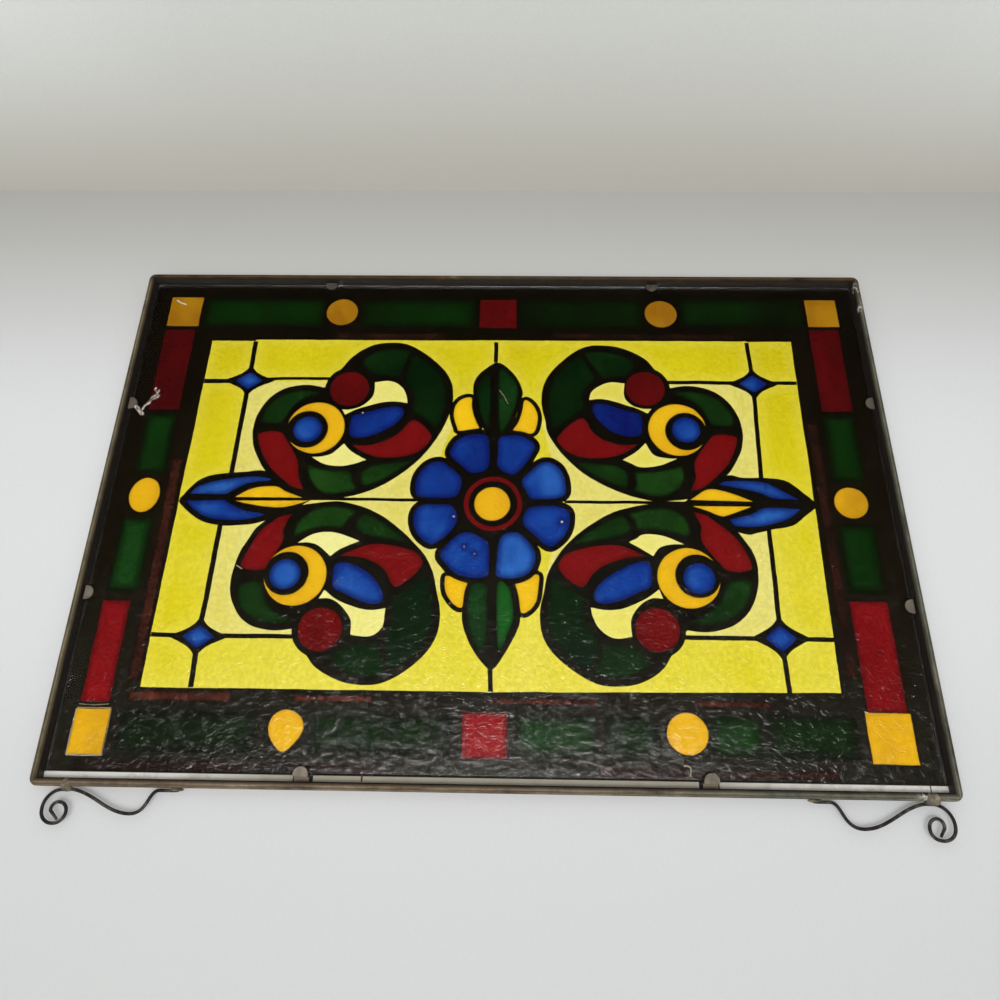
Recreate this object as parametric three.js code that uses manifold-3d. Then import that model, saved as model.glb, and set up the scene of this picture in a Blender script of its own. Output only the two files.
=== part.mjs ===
// A glass panel painted to look like leaded stained glass, in a thin metal edging frame, with two bent-wire scrolls soldered
// along its top edge that it hangs by. Millimetres, +Z up, the painted picture is seen from -Y, and the origin is the
// line where the two hanging hooks bear: under the highest point of each wire's wave.
import * as THREE from "three";
import { mergeVertices } from "three/addons/utils/BufferGeometryUtils.js";
import Module from "manifold-3d";

// ---- driving dimensions ----
const FRAME_W = 530; // over the edging frame
const FRAME_H = 361;
const HANG_Z = 193.5; // the hooks' line above the middle of the frame
const FRAME_FRONT = -4; // the rail's front and back faces
const FRAME_BACK = 4;
const RAIL_W = 4.3; // the upright rim of the rail, seen from the front
const RAIL_ROUND = 1.2;
const CORNER_R = 4.6;
const LEDGE_T = 0.8; // flat strip at the back that the glass lies against
const LEDGE_IN = 12.5; // from the outer edge to the ledge's inner edge
const GLASS_W = 518;
const GLASS_H = 346;
const GLASS_DROP = 0.75; // the pane sits this much below the middle of the frame
const GLASS_FRONT = 0;
const GLASS_BACK = 2.9;
const GAP = 0.3; // between neighbouring pieces

const TAB_W = 8.8; // the bent holding tabs
const TAB_T = 0.8;
const TAB_OVER = 4.6; // how far a tab reaches over the glass
const NOTCH_W = 2.3; // slot left in the ledge beside a tab

const WIRE_R = 1.0;
const WIRE_Z = 181.9; // the wire's centre line along the frame, from the frame's middle

const PAINT_T = 0.5; // the black painted outlines, behind the glass
const PAINT_W = 502;
const PAINT_H = 333;

// ---- small helpers ----
const wasm = await Module();
wasm.setup();

function solid(geometry) {
  const g = geometry.clone();
  g.deleteAttribute("normal");
  g.deleteAttribute("uv");
  const m = mergeVertices(g, 1e-4);
  return new wasm.Manifold(
    new wasm.Mesh({
      numProp: 3,
      vertProperties: new Float32Array(m.attributes.position.array),
      triVerts: new Uint32Array(m.index.array),
    }),
  );
}

function geometryOf(manifold) {
  const m = manifold.getMesh();
  const g = new THREE.BufferGeometry();
  g.setAttribute("position", new THREE.BufferAttribute(new Float32Array(m.vertProperties), 3));
  g.setIndex(new THREE.BufferAttribute(new Uint32Array(m.triVerts), 1));
  g.computeVertexNormals();
  return g;
}

// A flat shape drawn in x and z, made solid from y0 to y1.
function slab(shape, y0, y1, curveSegments = 10) {
  const g = new THREE.ExtrudeGeometry(shape, { depth: y1 - y0, bevelEnabled: false, curveSegments });
  g.rotateX(Math.PI / 2);
  g.translate(0, y1, 0);
  return g;
}

function box(x0, x1, y0, y1, z0, z1) {
  const g = new THREE.BoxGeometry(x1 - x0, y1 - y0, z1 - z0);
  g.translate((x0 + x1) / 2, (y0 + y1) / 2, (z0 + z1) / 2);
  return g;
}

function roundedRect(w, h, r, Kind = THREE.Shape) {
  const s = new Kind();
  const x = w / 2;
  const z = h / 2;
  s.moveTo(-x + r, -z);
  s.lineTo(x - r, -z);
  s.absarc(x - r, -z + r, r, -Math.PI / 2, 0);
  s.lineTo(x, z - r);
  s.absarc(x - r, z - r, r, 0, Math.PI / 2);
  s.lineTo(-x + r, z);
  s.absarc(-x + r, z - r, r, Math.PI / 2, Math.PI);
  s.lineTo(-x, -z + r);
  s.absarc(-x + r, -z + r, r, Math.PI, 1.5 * Math.PI);
  return s;
}

const mesh = (name, geometry, color, roughness, metalness, more = {}) => {
  const m = new THREE.Mesh(geometry, new THREE.MeshStandardMaterial({ color, roughness, metalness, ...more }));
  m.name = name;
  return m;
};

// ---- frame: rim, back ledge and bent tabs ----
// Each side runs from the frame's middle outwards: at(s, t) is the point s inside the outer edge, t along the side.
const SIDES = {
  top: { edge: FRAME_H / 2, glass: GLASS_H / 2 - GLASS_DROP, along: "x", sign: 1 },
  bottom: { edge: FRAME_H / 2, glass: GLASS_H / 2 + GLASS_DROP, along: "x", sign: -1 },
  right: { edge: FRAME_W / 2, glass: GLASS_W / 2, along: "z", sign: 1 },
  left: { edge: FRAME_W / 2, glass: GLASS_W / 2, along: "z", sign: -1 },
};

// Where each tab stands along its side, and on which hand its slot was left.
const TABS = [
  { side: "top", at: 110, slot: -1 },
  { side: "top", at: -126, slot: 1 },
  { side: "bottom", at: 127, slot: -1 },
  { side: "bottom", at: -112.5, slot: -1 },
  { side: "right", at: -71, slot: 1 },
  { side: "right", at: 66, slot: -1 },
  { side: "left", at: -75, slot: 1 },
  { side: "left", at: 68.5, slot: -1 },
];

function sideBox(side, d0, d1, t0, t1, y0, y1) {
  const a = side.sign * d0;
  const b = side.sign * d1;
  const [p, q] = a < b ? [a, b] : [b, a];
  return side.along === "x" ? box(t0, t1, y0, y1, p, q) : box(p, q, y0, y1, t0, t1);
}

// The part of a tab that lies over the glass: a strip with a half-round end.
function tabOver(side, at, dOut, dIn) {
  const r = TAB_W / 2;
  const s = new THREE.Shape();
  const y1 = GLASS_FRONT - GAP;
  s.moveTo(-r, 0);
  s.lineTo(r, 0);
  s.lineTo(r, dOut - dIn - r);
  s.absarc(0, dOut - dIn - r, r, 0, Math.PI);
  s.closePath();
  const g = slab(s, y1 - TAB_T, y1, 5);
  if (side.along === "x") {
    if (side.sign > 0) g.rotateY(Math.PI);
    g.translate(at, 0, side.sign * dOut);
  } else {
    g.rotateY(side.sign > 0 ? -Math.PI / 2 : Math.PI / 2);
    g.translate(side.sign * dOut, 0, at);
  }
  // turning by half a turn about Y carries the thickness to the other side of y = 0, so it is put back where it belongs
  g.computeBoundingBox();
  g.translate(0, y1 - g.boundingBox.max.y, 0);
  return g;
}

function makeFrame() {
  const rim = roundedRect(FRAME_W, FRAME_H, CORNER_R);
  rim.holes.push(roundedRect(FRAME_W - 2 * RAIL_W, FRAME_H - 2 * RAIL_W, 0.8, THREE.Path));
  const rimGeometry = new THREE.ExtrudeGeometry(rim, {
    depth: FRAME_BACK - FRAME_FRONT - 2 * RAIL_ROUND,
    bevelEnabled: true,
    bevelSize: RAIL_ROUND,
    bevelThickness: RAIL_ROUND,
    bevelOffset: -RAIL_ROUND,
    bevelSegments: 2,
    curveSegments: 4,
  });
  rimGeometry.rotateX(Math.PI / 2);
  rimGeometry.translate(0, FRAME_BACK - RAIL_ROUND, 0);
  let body = solid(rimGeometry);

  const ledge = roundedRect(FRAME_W - RAIL_W, FRAME_H - RAIL_W, CORNER_R - RAIL_W / 2);
  ledge.holes.push(roundedRect(FRAME_W - 2 * LEDGE_IN, FRAME_H - 2 * LEDGE_IN, 0.5, THREE.Path));
  body = body.add(solid(slab(ledge, FRAME_BACK - LEDGE_T, FRAME_BACK, 3)));

  for (const tab of TABS) {
    const side = SIDES[tab.side];
    const legIn = side.glass + GAP; // the leg stands just outside the glass
    const legOut = legIn + TAB_T;
    const half = TAB_W / 2;
    const t0 = tab.at - half - (tab.slot < 0 ? NOTCH_W : 0);
    const t1 = tab.at + half + (tab.slot > 0 ? NOTCH_W : 0);
    // the window the tab was cut from, and its slot, which runs out to the rim
    body = body.subtract(
      solid(sideBox(side, side.edge - LEDGE_IN - 1, legIn - 0.01, t0, t1, FRAME_BACK - 1.5, FRAME_BACK + 1)),
    );
    const slotAt = tab.slot < 0 ? t0 : tab.at + half;
    body = body.subtract(
      solid(
        sideBox(side, legIn - 1, side.edge - RAIL_W, slotAt, slotAt + NOTCH_W, FRAME_BACK - LEDGE_T - 0.3, FRAME_BACK + 1),
      ),
    );
    body = body.add(
      solid(sideBox(side, legIn, legOut, tab.at - half, tab.at + half, GLASS_FRONT - GAP - TAB_T, FRAME_BACK - 0.1)),
    );
    body = body.add(solid(tabOver(side, tab.at, legOut, side.glass - TAB_OVER)));
  }
  // a saw cut through the top ledge near one corner, and a nick
  body = body.subtract(solid(box(-251.4, -250.6, 2, 5, 168, FRAME_H / 2 - RAIL_W)));
  body = body.subtract(solid(box(74.5, 75.5, 2, 5, 171, FRAME_H / 2 - RAIL_W - 1)));
  return geometryOf(body);
}

// ---- scroll wires ----
// Sizes of each hand-bent wire, measured outwards from the frame's middle: x of the joint over the curl, of the wave's
// crest and of the inner end, the curl's centre, and the curl's radius at each quarter turn from its top.
const SCROLLS = {
  right: {
    sign: 1,
    joint: 243.3,
    crest: 205,
    crestZ: 194.5,
    inner: 190,
    end: 179,
    curl: [246, 193.5],
    radii: [11.6, 8.4, 6.6, 5.7, 4.6, 3.2],
    tip: [245.2, 196.6],
    blob: [243.2, 2.7],
    endBlob: [180.5, 4.2],
  },
  left: {
    sign: -1,
    joint: 247,
    crest: 208.3,
    crestZ: 195.6,
    inner: 191,
    end: 182,
    curl: [249.5, 194.5],
    radii: [12.6, 9.3, 6.2, 5.0, 5.0, 3.2],
    tip: [250.6, 197.9],
    blob: [248.5, 4.6],
    endBlob: [184.5, 4.6],
  },
};

function quarterRadius(radii, quarters) {
  const i = Math.min(Math.floor(quarters), radii.length - 2);
  const f = quarters - i;
  const ease = f * f * (3 - 2 * f) * 0.4 + f * 0.6;
  return radii[i] + (radii[i + 1] - radii[i]) * ease;
}

function scrollPath(s) {
  const pts = [];
  const put = (x, z) => pts.push(new THREE.Vector3(s.sign * x, 0, z));
  const bezier = (p0, p1, p2, p3, n) => {
    const c = new THREE.CubicBezierCurve(...[p0, p1, p2, p3].map((p) => new THREE.Vector2(...p)));
    for (const p of c.getPoints(n).slice(0, -1)) put(p.x, p.y);
  };
  const span = s.crest - s.inner;
  put(s.end, WIRE_Z);
  bezier([s.inner, WIRE_Z], [s.inner + 0.43 * span, WIRE_Z], [s.crest - 0.7 * span, s.crestZ], [s.crest, s.crestZ], 7);
  const run = s.joint - s.crest;
  bezier([s.crest, s.crestZ], [s.crest + 0.37 * run, s.crestZ], [s.joint - 0.37 * run, WIRE_Z], [s.joint, WIRE_Z], 8);
  const [cx, cz] = s.curl;
  const start = Math.atan2(s.joint - cx, cz - WIRE_Z);
  for (let k = 0; k <= 26; k++) {
    const q = (5 * k) / 26;
    const r = quarterRadius(s.radii, q);
    const a = start * (1 - Math.min(q, 1)) + (q * Math.PI) / 2;
    put(cx + r * Math.sin(a), cz - r * Math.cos(a));
  }
  put(...s.tip);
  return new THREE.CatmullRomCurve3(pts, false, "centripetal");
}

function ellipsoid(x, y, z, rx, ry, rz) {
  const g = new THREE.SphereGeometry(1, 10, 6);
  g.scale(rx, ry, rz);
  g.translate(x, y, z);
  return g;
}

function makeScroll(s) {
  const round = new THREE.Shape();
  round.absarc(0, 0, WIRE_R, 0, 2 * Math.PI);
  const tube = new THREE.ExtrudeGeometry(round, { steps: 46, bevelEnabled: false, curveSegments: 4, extrudePath: scrollPath(s) });
  let body = solid(tube);
  if (body.volume() < 0) throw new Error("the wire is inside out");
  const [bx, bw] = s.blob;
  const [ex, ew] = s.endBlob;
  const blobs = [
    ellipsoid(s.sign * bx, -1.6, 181.2, bw, 3.6, 2.6),
    ellipsoid(s.sign * bx, -3.4, 179.2, bw * 0.9, 1.8, 3.2),
    ellipsoid(s.sign * ex, -0.2, 181.4, ew, 1.7, 1.7),
  ];
  const rail = solid(box(-FRAME_W, FRAME_W, FRAME_FRONT - GAP, 20, 0, FRAME_H / 2 + GAP));
  for (const b of blobs) body = body.add(solid(b).subtract(rail));
  return geometryOf(body);
}

// ---- black painted outlines behind the glass ----
// Drawn in u and v, the distances from the frame's middle; each quarter of the picture mirrors the same wreath.
const CENTRE_U = 2.3; // the picture's middle line stands this far to the right
const put = (u, v) => [u + CENTRE_U, v];

const path = (points, kind = THREE.Shape) => {
  const s = new kind();
  points.forEach(([x, y], i) => (i ? s.lineTo(x, y) : s.moveTo(x, y)));
  s.closePath();
  return s;
};

// A smooth closed outline through a few points; a third value of 1 marks a sharp corner.
function smooth(points, per = 2) {
  const n = points.length;
  const out = [];
  const at = (i) => points[((i % n) + n) % n];
  for (let i = 0; i < n; i++) {
    const [p0, p1, p2, p3] = [at(i - 1), at(i), at(i + 1), at(i + 2)];
    const t1 = p1[2] ? [p2[0] - p1[0], p2[1] - p1[1]] : [(p2[0] - p0[0]) / 2, (p2[1] - p0[1]) / 2];
    const t2 = p2[2] ? [p2[0] - p1[0], p2[1] - p1[1]] : [(p3[0] - p1[0]) / 2, (p3[1] - p1[1]) / 2];
    for (let k = 0; k < per; k++) {
      const t = k / per;
      const h = [2 * t ** 3 - 3 * t * t + 1, t ** 3 - 2 * t * t + t, -2 * t ** 3 + 3 * t * t, t ** 3 - t * t];
      out.push([0, 1].map((c) => h[0] * p1[c] + h[1] * t1[c] + h[2] * p2[c] + h[3] * t2[c]));
    }
  }
  return out;
}

const circle = (cx, cy, r, n = 20, squash = 1) =>
  Array.from({ length: n }, (_, i) => {
    const a = (2 * Math.PI * i) / n;
    return [cx + r * Math.cos(a), cy + squash * r * Math.sin(a)];
  });

const rect = (x0, x1, y0, y1) => [
  [x0, y0],
  [x1, y0],
  [x1, y1],
  [x0, y1],
];

// The amber petal beside the middle leaf.
const PETAL = [[16.5, 77], [27, 72], [28.5, 60], [24, 51], [12, 55, 1], [16, 66]];

// One wreath, as distances from the picture's two middle lines.
const WREATH = {
  outline: [[109, 104.5], [97, 117.5], [77, 124], [56, 118], [36.5, 100.5], [29.8, 79.4], [36.6, 52.8], [60, 21.8], [93, 3.3], [127, 2], [151, 17], [167.8, 47], [163.3, 71.7], [140, 87.8], [121.6, 86.1]],
  bud: { at: [103.7, 85.3], red: 13.8, black: 17.6 },
  crescent: { at: [124.3, 54], r: 19.9, cut: [130.2, 52.7], cutR: 14.4, disc: [130, 52.7], discR: 10 },
  fields: [
    [[86, 90.6, 1], [77, 91.9], [68, 88.5], [61.8, 73.9, 1], [73.3, 75.2], [90, 71.4], [104.9, 64.4, 1], [107.5, 68.6, 1], [94.4, 71.1], [87, 79]],
    [[103.5, 41.9, 1], [97.7, 35.8], [87.1, 29.7, 1], [101, 25.2], [116.6, 26.7], [124.6, 31.4, 1], [111, 34.4]],
    [[99.9, 62.8], [84.4, 68.3], [67.7, 71.1], [64.4, 63.9], [77.7, 51.7], [94.4, 46.3], [100.8, 52.8]],
    [[97.7, 41.1, 1], [79.9, 42.6], [64.4, 52.2], [56.6, 60.6], [43.8, 48.9], [49.9, 37.8], [71, 31.4], [88.8, 35]],
    [[163.8, 47.2], [154.4, 51.1], [147, 49], [134.4, 29.4], [128, 7.2, 1], [142.1, 14.4], [156.6, 29.4]],
  ],
};

function makeOutlines() {
  const y0 = GLASS_BACK + GAP;
  const y1 = y0 + PAINT_T;
  const flat = (points) => solid(slab(path(points), y0, y1));
  const cut = (points) => solid(slab(path(points), y0 - 1, y1 + 1));
  const grow = (points, d) => {
    // pushes a rounded outline outwards by d, about its own middle
    const c = [0, 1].map((k) => points.reduce((t, p) => t + p[k], 0) / points.length);
    return points.map(([x, y]) => {
      const l = Math.hypot(x - c[0], y - c[1]);
      return [c[0] + ((x - c[0]) * (l + d)) / l, c[1] + ((y - c[1]) * (l + d)) / l];
    });
  };
  const blacks = [];
  const holes = [];
  for (const [su, sv] of [[1, 1], [-1, 1], [1, -1], [-1, -1]]) {
    const q = (points) => {
      const m = points.map(([a, b]) => put(su * a, sv * b));
      return su * sv < 0 ? m.reverse() : m;
    };
    blacks.push(q(smooth(WREATH.outline)));
    blacks.push(q(circle(...WREATH.bud.at, WREATH.bud.black, 14)));
    holes.push({ points: q(circle(...WREATH.bud.at, WREATH.bud.red, 12)) });
    const c = WREATH.crescent;
    holes.push({ points: q(circle(...c.at, c.r, 16)), keep: q(circle(...c.cut, c.cutR, 13)) });
    holes.push({ points: q(circle(...c.disc, c.discR, 12)) });
    WREATH.fields.forEach((f, i) => holes.push({ points: q(smooth(f, i < 2 ? 1 : 2)) }));
    // diamond with hollow sides, its blue middle, and the lines that run from it
    const [du, dv] = [176.5, 91.5];
    blacks.push(q(smooth([[du - 18, dv, 1], [du - 6, dv + 6], [du, dv + 13, 1], [du + 6, dv + 6], [du + 18, dv, 1], [du + 6, dv - 6], [du, dv - 13, 1], [du - 6, dv - 6]], 1)));
    blacks.push(q(rect(118, 214, dv - 1.1, dv + 1.1)));
    blacks.push(q(rect(du - 1.3, du + 1.3, 15, 128)));
    holes.push({ points: q(path4(du, dv, 9.5, 7)) });
    // half of a side leaf and of its spear
    blacks.push(q(smooth([[208, -1, 1], [208, 2.5], [192, 16.7], [168, 20], [140, 22], [120, -1, 1]])));
    holes.push({ points: q(smooth([[203, 2.6, 1], [189, 12.5], [161, 16.3], [151, 14], [166, 10.5], [178, 2.6, 1]])) });
    holes.push({ points: q(smooth([[172, 1.4, 1], [157, 8.7], [140, 7.5], [127.5, 1.4, 1]])) });
    // half of the middle leaf, and the petal beside it
    blacks.push(q(smooth([[-1, 110, 1], [1, 108], [11, 98], [18.5, 80], [15, 62], [9, 48, 1], [-1, 48, 1]])));
    holes.push({ points: q(smooth([[2.2, 100], [8.5, 93], [13, 80], [9.5, 64], [2.2, 56]])) });
    blacks.push(q(grow(smooth(PETAL, 1), 3.6)));
    holes.push({ points: q(smooth(PETAL, 1)) });
    // two petals of the flower
    for (const p of [
      [[3.2, 49], [14, 50], [27, 41], [27, 33], [17, 22], [8, 22], [3.4, 27]],
      [[22, 3], [43, 3], [51, 9], [49, 20], [40, 28], [33, 28], [21, 16]],
    ]) {
      blacks.push(q(grow(smooth(p, 1), 4)));
      holes.push({ points: q(smooth(p, 2)) });
    }
  }
  blacks.push(circle(CENTRE_U, 0, 30, 12));
  holes.push({ points: circle(CENTRE_U, 1.5, 12, 16) });
  blacks.push(rect(CENTRE_U - 1.3, CENTRE_U + 1.3, -128, 128));
  blacks.push(rect(-214, 214, -1, 1));
  // the border: a band all round, pierced by its squares, discs and oblongs
  const band = path(rect(-PAINT_W / 2, PAINT_W / 2, -PAINT_H / 2, PAINT_H / 2));
  band.holes.push(path(rect(-210, 212, -125.5, 122.8), THREE.Path));
  const border = [];
  for (const su of [1, -1]) {
    for (const sv of [1, -1]) {
      border.push(rect(su > 0 ? 225 : -247, su > 0 ? 248 : -224, sv > 0 ? 136 : -163, sv > 0 ? 161.5 : -139));
      border.push(rect(su > 0 ? 226 : -246, su > 0 ? 246.5 : -224, sv > 0 ? 68 : -134, sv > 0 ? 132.5 : -69));
    }
    border.push(circle(su > 0 ? 236.5 : -233.6, -1.7, 11, 14));
  }
  for (const sv of [1, -1]) {
    border.push(rect(-10.5, 16.5, sv > 0 ? 136.5 : -162, sv > 0 ? 161.5 : -138));
    for (const u of [-116.6, 120]) border.push(circle(u, sv > 0 ? 146.5 : -150.5, 11.7, 14));
  }
  let body = solid(slab(band, y0, y1));
  body = blacks.reduce((b, points) => b.add(flat(points)), body);
  for (const h of holes) {
    let tool = cut(h.points);
    if (h.keep) tool = tool.subtract(cut(h.keep));
    body = body.subtract(tool);
  }
  body = border.reduce((b, points) => b.subtract(cut(points)), body);
  return body;
}

function path4(u, v, w, h) {
  return smooth([[u - w, v, 1], [u - w * 0.45, v + h * 0.52], [u, v + h, 1], [u + w * 0.45, v + h * 0.52], [u + w, v, 1], [u + w * 0.45, v - h * 0.52], [u, v - h, 1], [u - w * 0.45, v - h * 0.52]], 1);
}

// ---- the panel ----
const panel = new THREE.Group();
panel.add(mesh("window_frame", makeFrame(), 0x6b6355, 0.55, 0.8));

const pane = mesh("glass_pane", box(-GLASS_W / 2, GLASS_W / 2, GLASS_FRONT, GLASS_BACK, -GLASS_H / 2, GLASS_H / 2), 0xe8ecdf, 0.1, 0, { transparent: true, opacity: 0.35 });
pane.position.z = -GLASS_DROP;
panel.add(pane);

panel.add(mesh("painted_outlines", geometryOf(makeOutlines()), 0x1a1510, 0.6, 0));
for (const [name, s] of Object.entries(SCROLLS)) panel.add(mesh("scroll_wire_" + name, makeScroll(s), 0x3a3834, 0.5, 0.8));
panel.position.z = -HANG_Z;

const root = new THREE.Group();
root.add(panel);
export default root;
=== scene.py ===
"""A painted glass panel in a thin metal frame with two wire scrolls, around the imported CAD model.

Metres, +Z up. The picture is laid out in millimetres from the middle of the frame: u grows towards -X and v
towards -Z, the way the panel is seen here, with its scrolls nearest to the camera. So left is +X, right
is -X, near is the top of the panel and far is its foot.
"""

import math

import bmesh
import bpy
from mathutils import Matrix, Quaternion, Vector, kdtree, noise
from mathutils.geometry import delaunay_2d_cdt


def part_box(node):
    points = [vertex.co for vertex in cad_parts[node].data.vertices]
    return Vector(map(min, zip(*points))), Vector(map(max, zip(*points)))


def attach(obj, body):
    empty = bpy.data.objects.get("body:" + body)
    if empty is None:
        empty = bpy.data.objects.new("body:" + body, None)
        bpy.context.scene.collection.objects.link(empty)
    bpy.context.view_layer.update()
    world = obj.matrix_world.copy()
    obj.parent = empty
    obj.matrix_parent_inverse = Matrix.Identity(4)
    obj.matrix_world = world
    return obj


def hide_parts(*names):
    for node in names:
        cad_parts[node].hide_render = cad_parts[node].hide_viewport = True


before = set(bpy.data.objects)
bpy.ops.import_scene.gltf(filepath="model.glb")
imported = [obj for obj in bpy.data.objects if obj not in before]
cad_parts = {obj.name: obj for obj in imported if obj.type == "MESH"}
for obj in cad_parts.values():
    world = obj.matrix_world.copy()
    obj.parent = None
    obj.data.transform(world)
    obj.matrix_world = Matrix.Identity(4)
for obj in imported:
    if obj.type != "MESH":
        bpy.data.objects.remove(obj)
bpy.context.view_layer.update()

MM = 0.001
frame_lo, frame_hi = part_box("window_frame")
pane_lo, pane_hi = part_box("glass_pane")
MIDDLE_X = (frame_lo[0] + frame_hi[0]) / 2
MIDDLE_Z = (frame_lo[2] + frame_hi[2]) / 2
PAINT_FRONT = pane_hi[1] / MM + 0.05  # the paint lies on the back of the glass
PAINT_BACK = PAINT_FRONT + 0.17
RELIEF_BACK = PAINT_FRONT + 0.85  # the black lines stand proud at the back
HALF_W = (frame_hi[0] - frame_lo[0]) / 2
HALF_H = (frame_hi[2] - frame_lo[2]) / 2

scene = bpy.context.scene


def at(u, v, y):
    """The place u, v from the middle of the frame and y deep, all in millimetres."""
    return Vector((MIDDLE_X - u * MM, y * MM, MIDDLE_Z - v * MM))


# ---------------------------------------------------------------- camera, light and floor

CAMERA_AZIMUTH = -1.16
CAMERA_ELEVATION = 22.3
CAMERA_ROLL = 181.02
CAMERA_DISTANCE = 0.4892
CAMERA_LENS = 26.734
CAMERA_TARGET = at(2.3, -0.6, -2)


def make_camera():
    a, e = math.radians(CAMERA_AZIMUTH), math.radians(CAMERA_ELEVATION)
    back = Vector((math.sin(a) * math.cos(e), -math.cos(a) * math.cos(e), math.sin(e)))
    data = bpy.data.cameras.new("camera")
    data.lens, data.sensor_width = CAMERA_LENS, 36
    data.clip_start, data.clip_end = 0.01, 20
    camera = bpy.data.objects.new("camera", data)
    scene.collection.objects.link(camera)
    camera.location = CAMERA_TARGET + back * CAMERA_DISTANCE
    camera.rotation_mode = "QUATERNION"
    turn = Quaternion((0, 0, 1), math.radians(CAMERA_ROLL))
    camera.rotation_quaternion = (-back).to_track_quat("-Z", "Y") @ turn
    scene.camera = camera


def area_light(name, place, target, size, watts, colour=(1, 1, 1), in_gloss=True):
    data = bpy.data.lights.new(name, "AREA")
    data.shape, data.size, data.size_y = "RECTANGLE", size[0], size[1]
    data.energy, data.color = watts, colour
    lamp = bpy.data.objects.new(name, data)
    scene.collection.objects.link(lamp)
    lamp.location = place
    lamp.rotation_mode = "QUATERNION"
    lamp.rotation_quaternion = (Vector(target) - Vector(place)).to_track_quat("-Z", "Y")
    lamp.visible_glossy = in_gloss


make_camera()
scene.view_settings.view_transform = "Standard"
scene.view_settings.look = "None"

WORLD_LIGHT = 0.68
WORLD_IN_GLOSS = 0.006  # how much of it shows in reflections and through the glass


def make_world():
    world = bpy.data.worlds.new("studio")
    scene.world = world
    world.use_nodes = True
    nodes, links = world.node_tree.nodes, world.node_tree.links
    backdrop = nodes["Background"]
    backdrop.inputs["Color"].default_value = (0.95, 0.97, 1.0, 1)
    ray, strength = nodes.new("ShaderNodeLightPath"), nodes.new("ShaderNodeMapRange")
    strength.inputs["To Min"].default_value = WORLD_LIGHT
    strength.inputs["To Max"].default_value = WORLD_IN_GLOSS
    either = nodes.new("ShaderNodeMath")
    either.operation = "MAXIMUM"
    links.new(ray.outputs["Is Glossy Ray"], either.inputs[0])
    links.new(ray.outputs["Is Transmission Ray"], either.inputs[1])
    links.new(either.outputs[0], strength.inputs["Value"])
    links.new(strength.outputs["Result"], backdrop.inputs["Strength"])


make_world()
area_light("key", (0.05, -1.25, 0.5), (0, 0, -0.15), (1.3, 0.8), 8.4, (1, 0.99, 0.97), False)
# A narrow lamp for the glints in the hammered glass.
area_light("window", (-0.04, -1.2, 0.3), (0, 0, -0.1), (0.9, 0.16), 3.0, (1, 0.99, 0.98))
area_light("back_fill", (0.4, 1.6, 0.7), (0, 0, -0.1), (1.2, 1.2), 9.5)


# ---------------------------------------------------------------- node helpers


class Graph:
    """A material and short ways to add nodes to it."""

    def __init__(self, name):
        self.material = bpy.data.materials.new(name)
        self.material.use_nodes = True
        self.tree = self.material.node_tree
        self.shader = self.tree.nodes["Principled BSDF"]
        self.output = self.tree.nodes["Material Output"]
        self.place = self.tree.nodes.new("ShaderNodeTexCoord").outputs["Object"]

    def node(self, kind, **settings):
        n = self.tree.nodes.new("ShaderNode" + kind)
        for key, value in settings.items():
            setattr(n, key, value)
        return n

    def feed(self, socket, value):
        if isinstance(value, bpy.types.NodeSocket):
            self.tree.links.new(value, socket)
        else:
            socket.default_value = value

    def set(self, **values):
        for key, value in values.items():
            self.feed(self.shader.inputs[key.replace("_", " ")], value)

    def scaled(self, x, y, z, offset=(0, 0, 0)):
        m = self.node("Mapping")
        self.feed(m.inputs["Vector"], self.place)
        m.inputs["Scale"].default_value = (x, y, z)
        m.inputs["Location"].default_value = offset
        return m.outputs["Vector"]

    def noise(self, scale, detail=3, roughness=0.5, vector=None, distortion=0):
        n = self.node("TexNoise")
        self.feed(n.inputs["Vector"], vector or self.place)
        settings = {"Scale": scale, "Detail": detail, "Roughness": roughness, "Distortion": distortion}
        for key, value in settings.items():
            n.inputs[key].default_value = value
        return n.outputs["Fac"]

    def math(self, operation, a, b=0.0, clamp=False):
        n = self.node("Math", operation=operation, use_clamp=clamp)
        self.feed(n.inputs[0], a)
        self.feed(n.inputs[1], b)
        return n.outputs[0]

    def times(self, a, b):
        return self.math("MULTIPLY", a, b)

    def plus(self, a, b):
        return self.math("ADD", a, b)

    def minus(self, a, b):
        return self.math("SUBTRACT", a, b)

    def size(self, a):
        return self.math("ABSOLUTE", a)

    def step(self, value, low, high, to_low=0.0, to_high=1.0):
        n = self.node("MapRange", interpolation_type="SMOOTHSTEP")
        self.feed(n.inputs["Value"], value)
        for key, number in (("From Min", low), ("From Max", high), ("To Min", to_low), ("To Max", to_high)):
            n.inputs[key].default_value = number
        return n.outputs["Result"]

    def mix(self, factor, a, b, blend="MIX"):
        n = self.node("Mix", data_type="RGBA", blend_type=blend)
        self.feed(n.inputs["Factor"], factor)
        self.feed(n.inputs[6], a)
        self.feed(n.inputs[7], b)
        return n.outputs[2]

    def ramp(self, value, *stops):
        n = self.node("ValToRGB")
        self.feed(n.inputs["Fac"], value)
        while len(n.color_ramp.elements) < len(stops):
            n.color_ramp.elements.new(0.5)
        for element, (position, colour) in zip(n.color_ramp.elements, stops):
            element.position, element.color = position, rgba(colour)
        return n.outputs["Color"]

    def attribute(self, name):
        return self.node("Attribute", attribute_name=name).outputs["Fac"]

    def xyz(self):
        n = self.node("SeparateXYZ")
        self.feed(n.inputs[0], self.place)
        return n.outputs

    def bump(self, height, strength, distance):
        n = self.node("Bump")
        n.inputs["Strength"].default_value = strength
        n.inputs["Distance"].default_value = distance
        self.feed(n.inputs["Height"], height)
        self.feed(self.shader.inputs["Normal"], n.outputs["Normal"])
        return n.outputs["Normal"]


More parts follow.
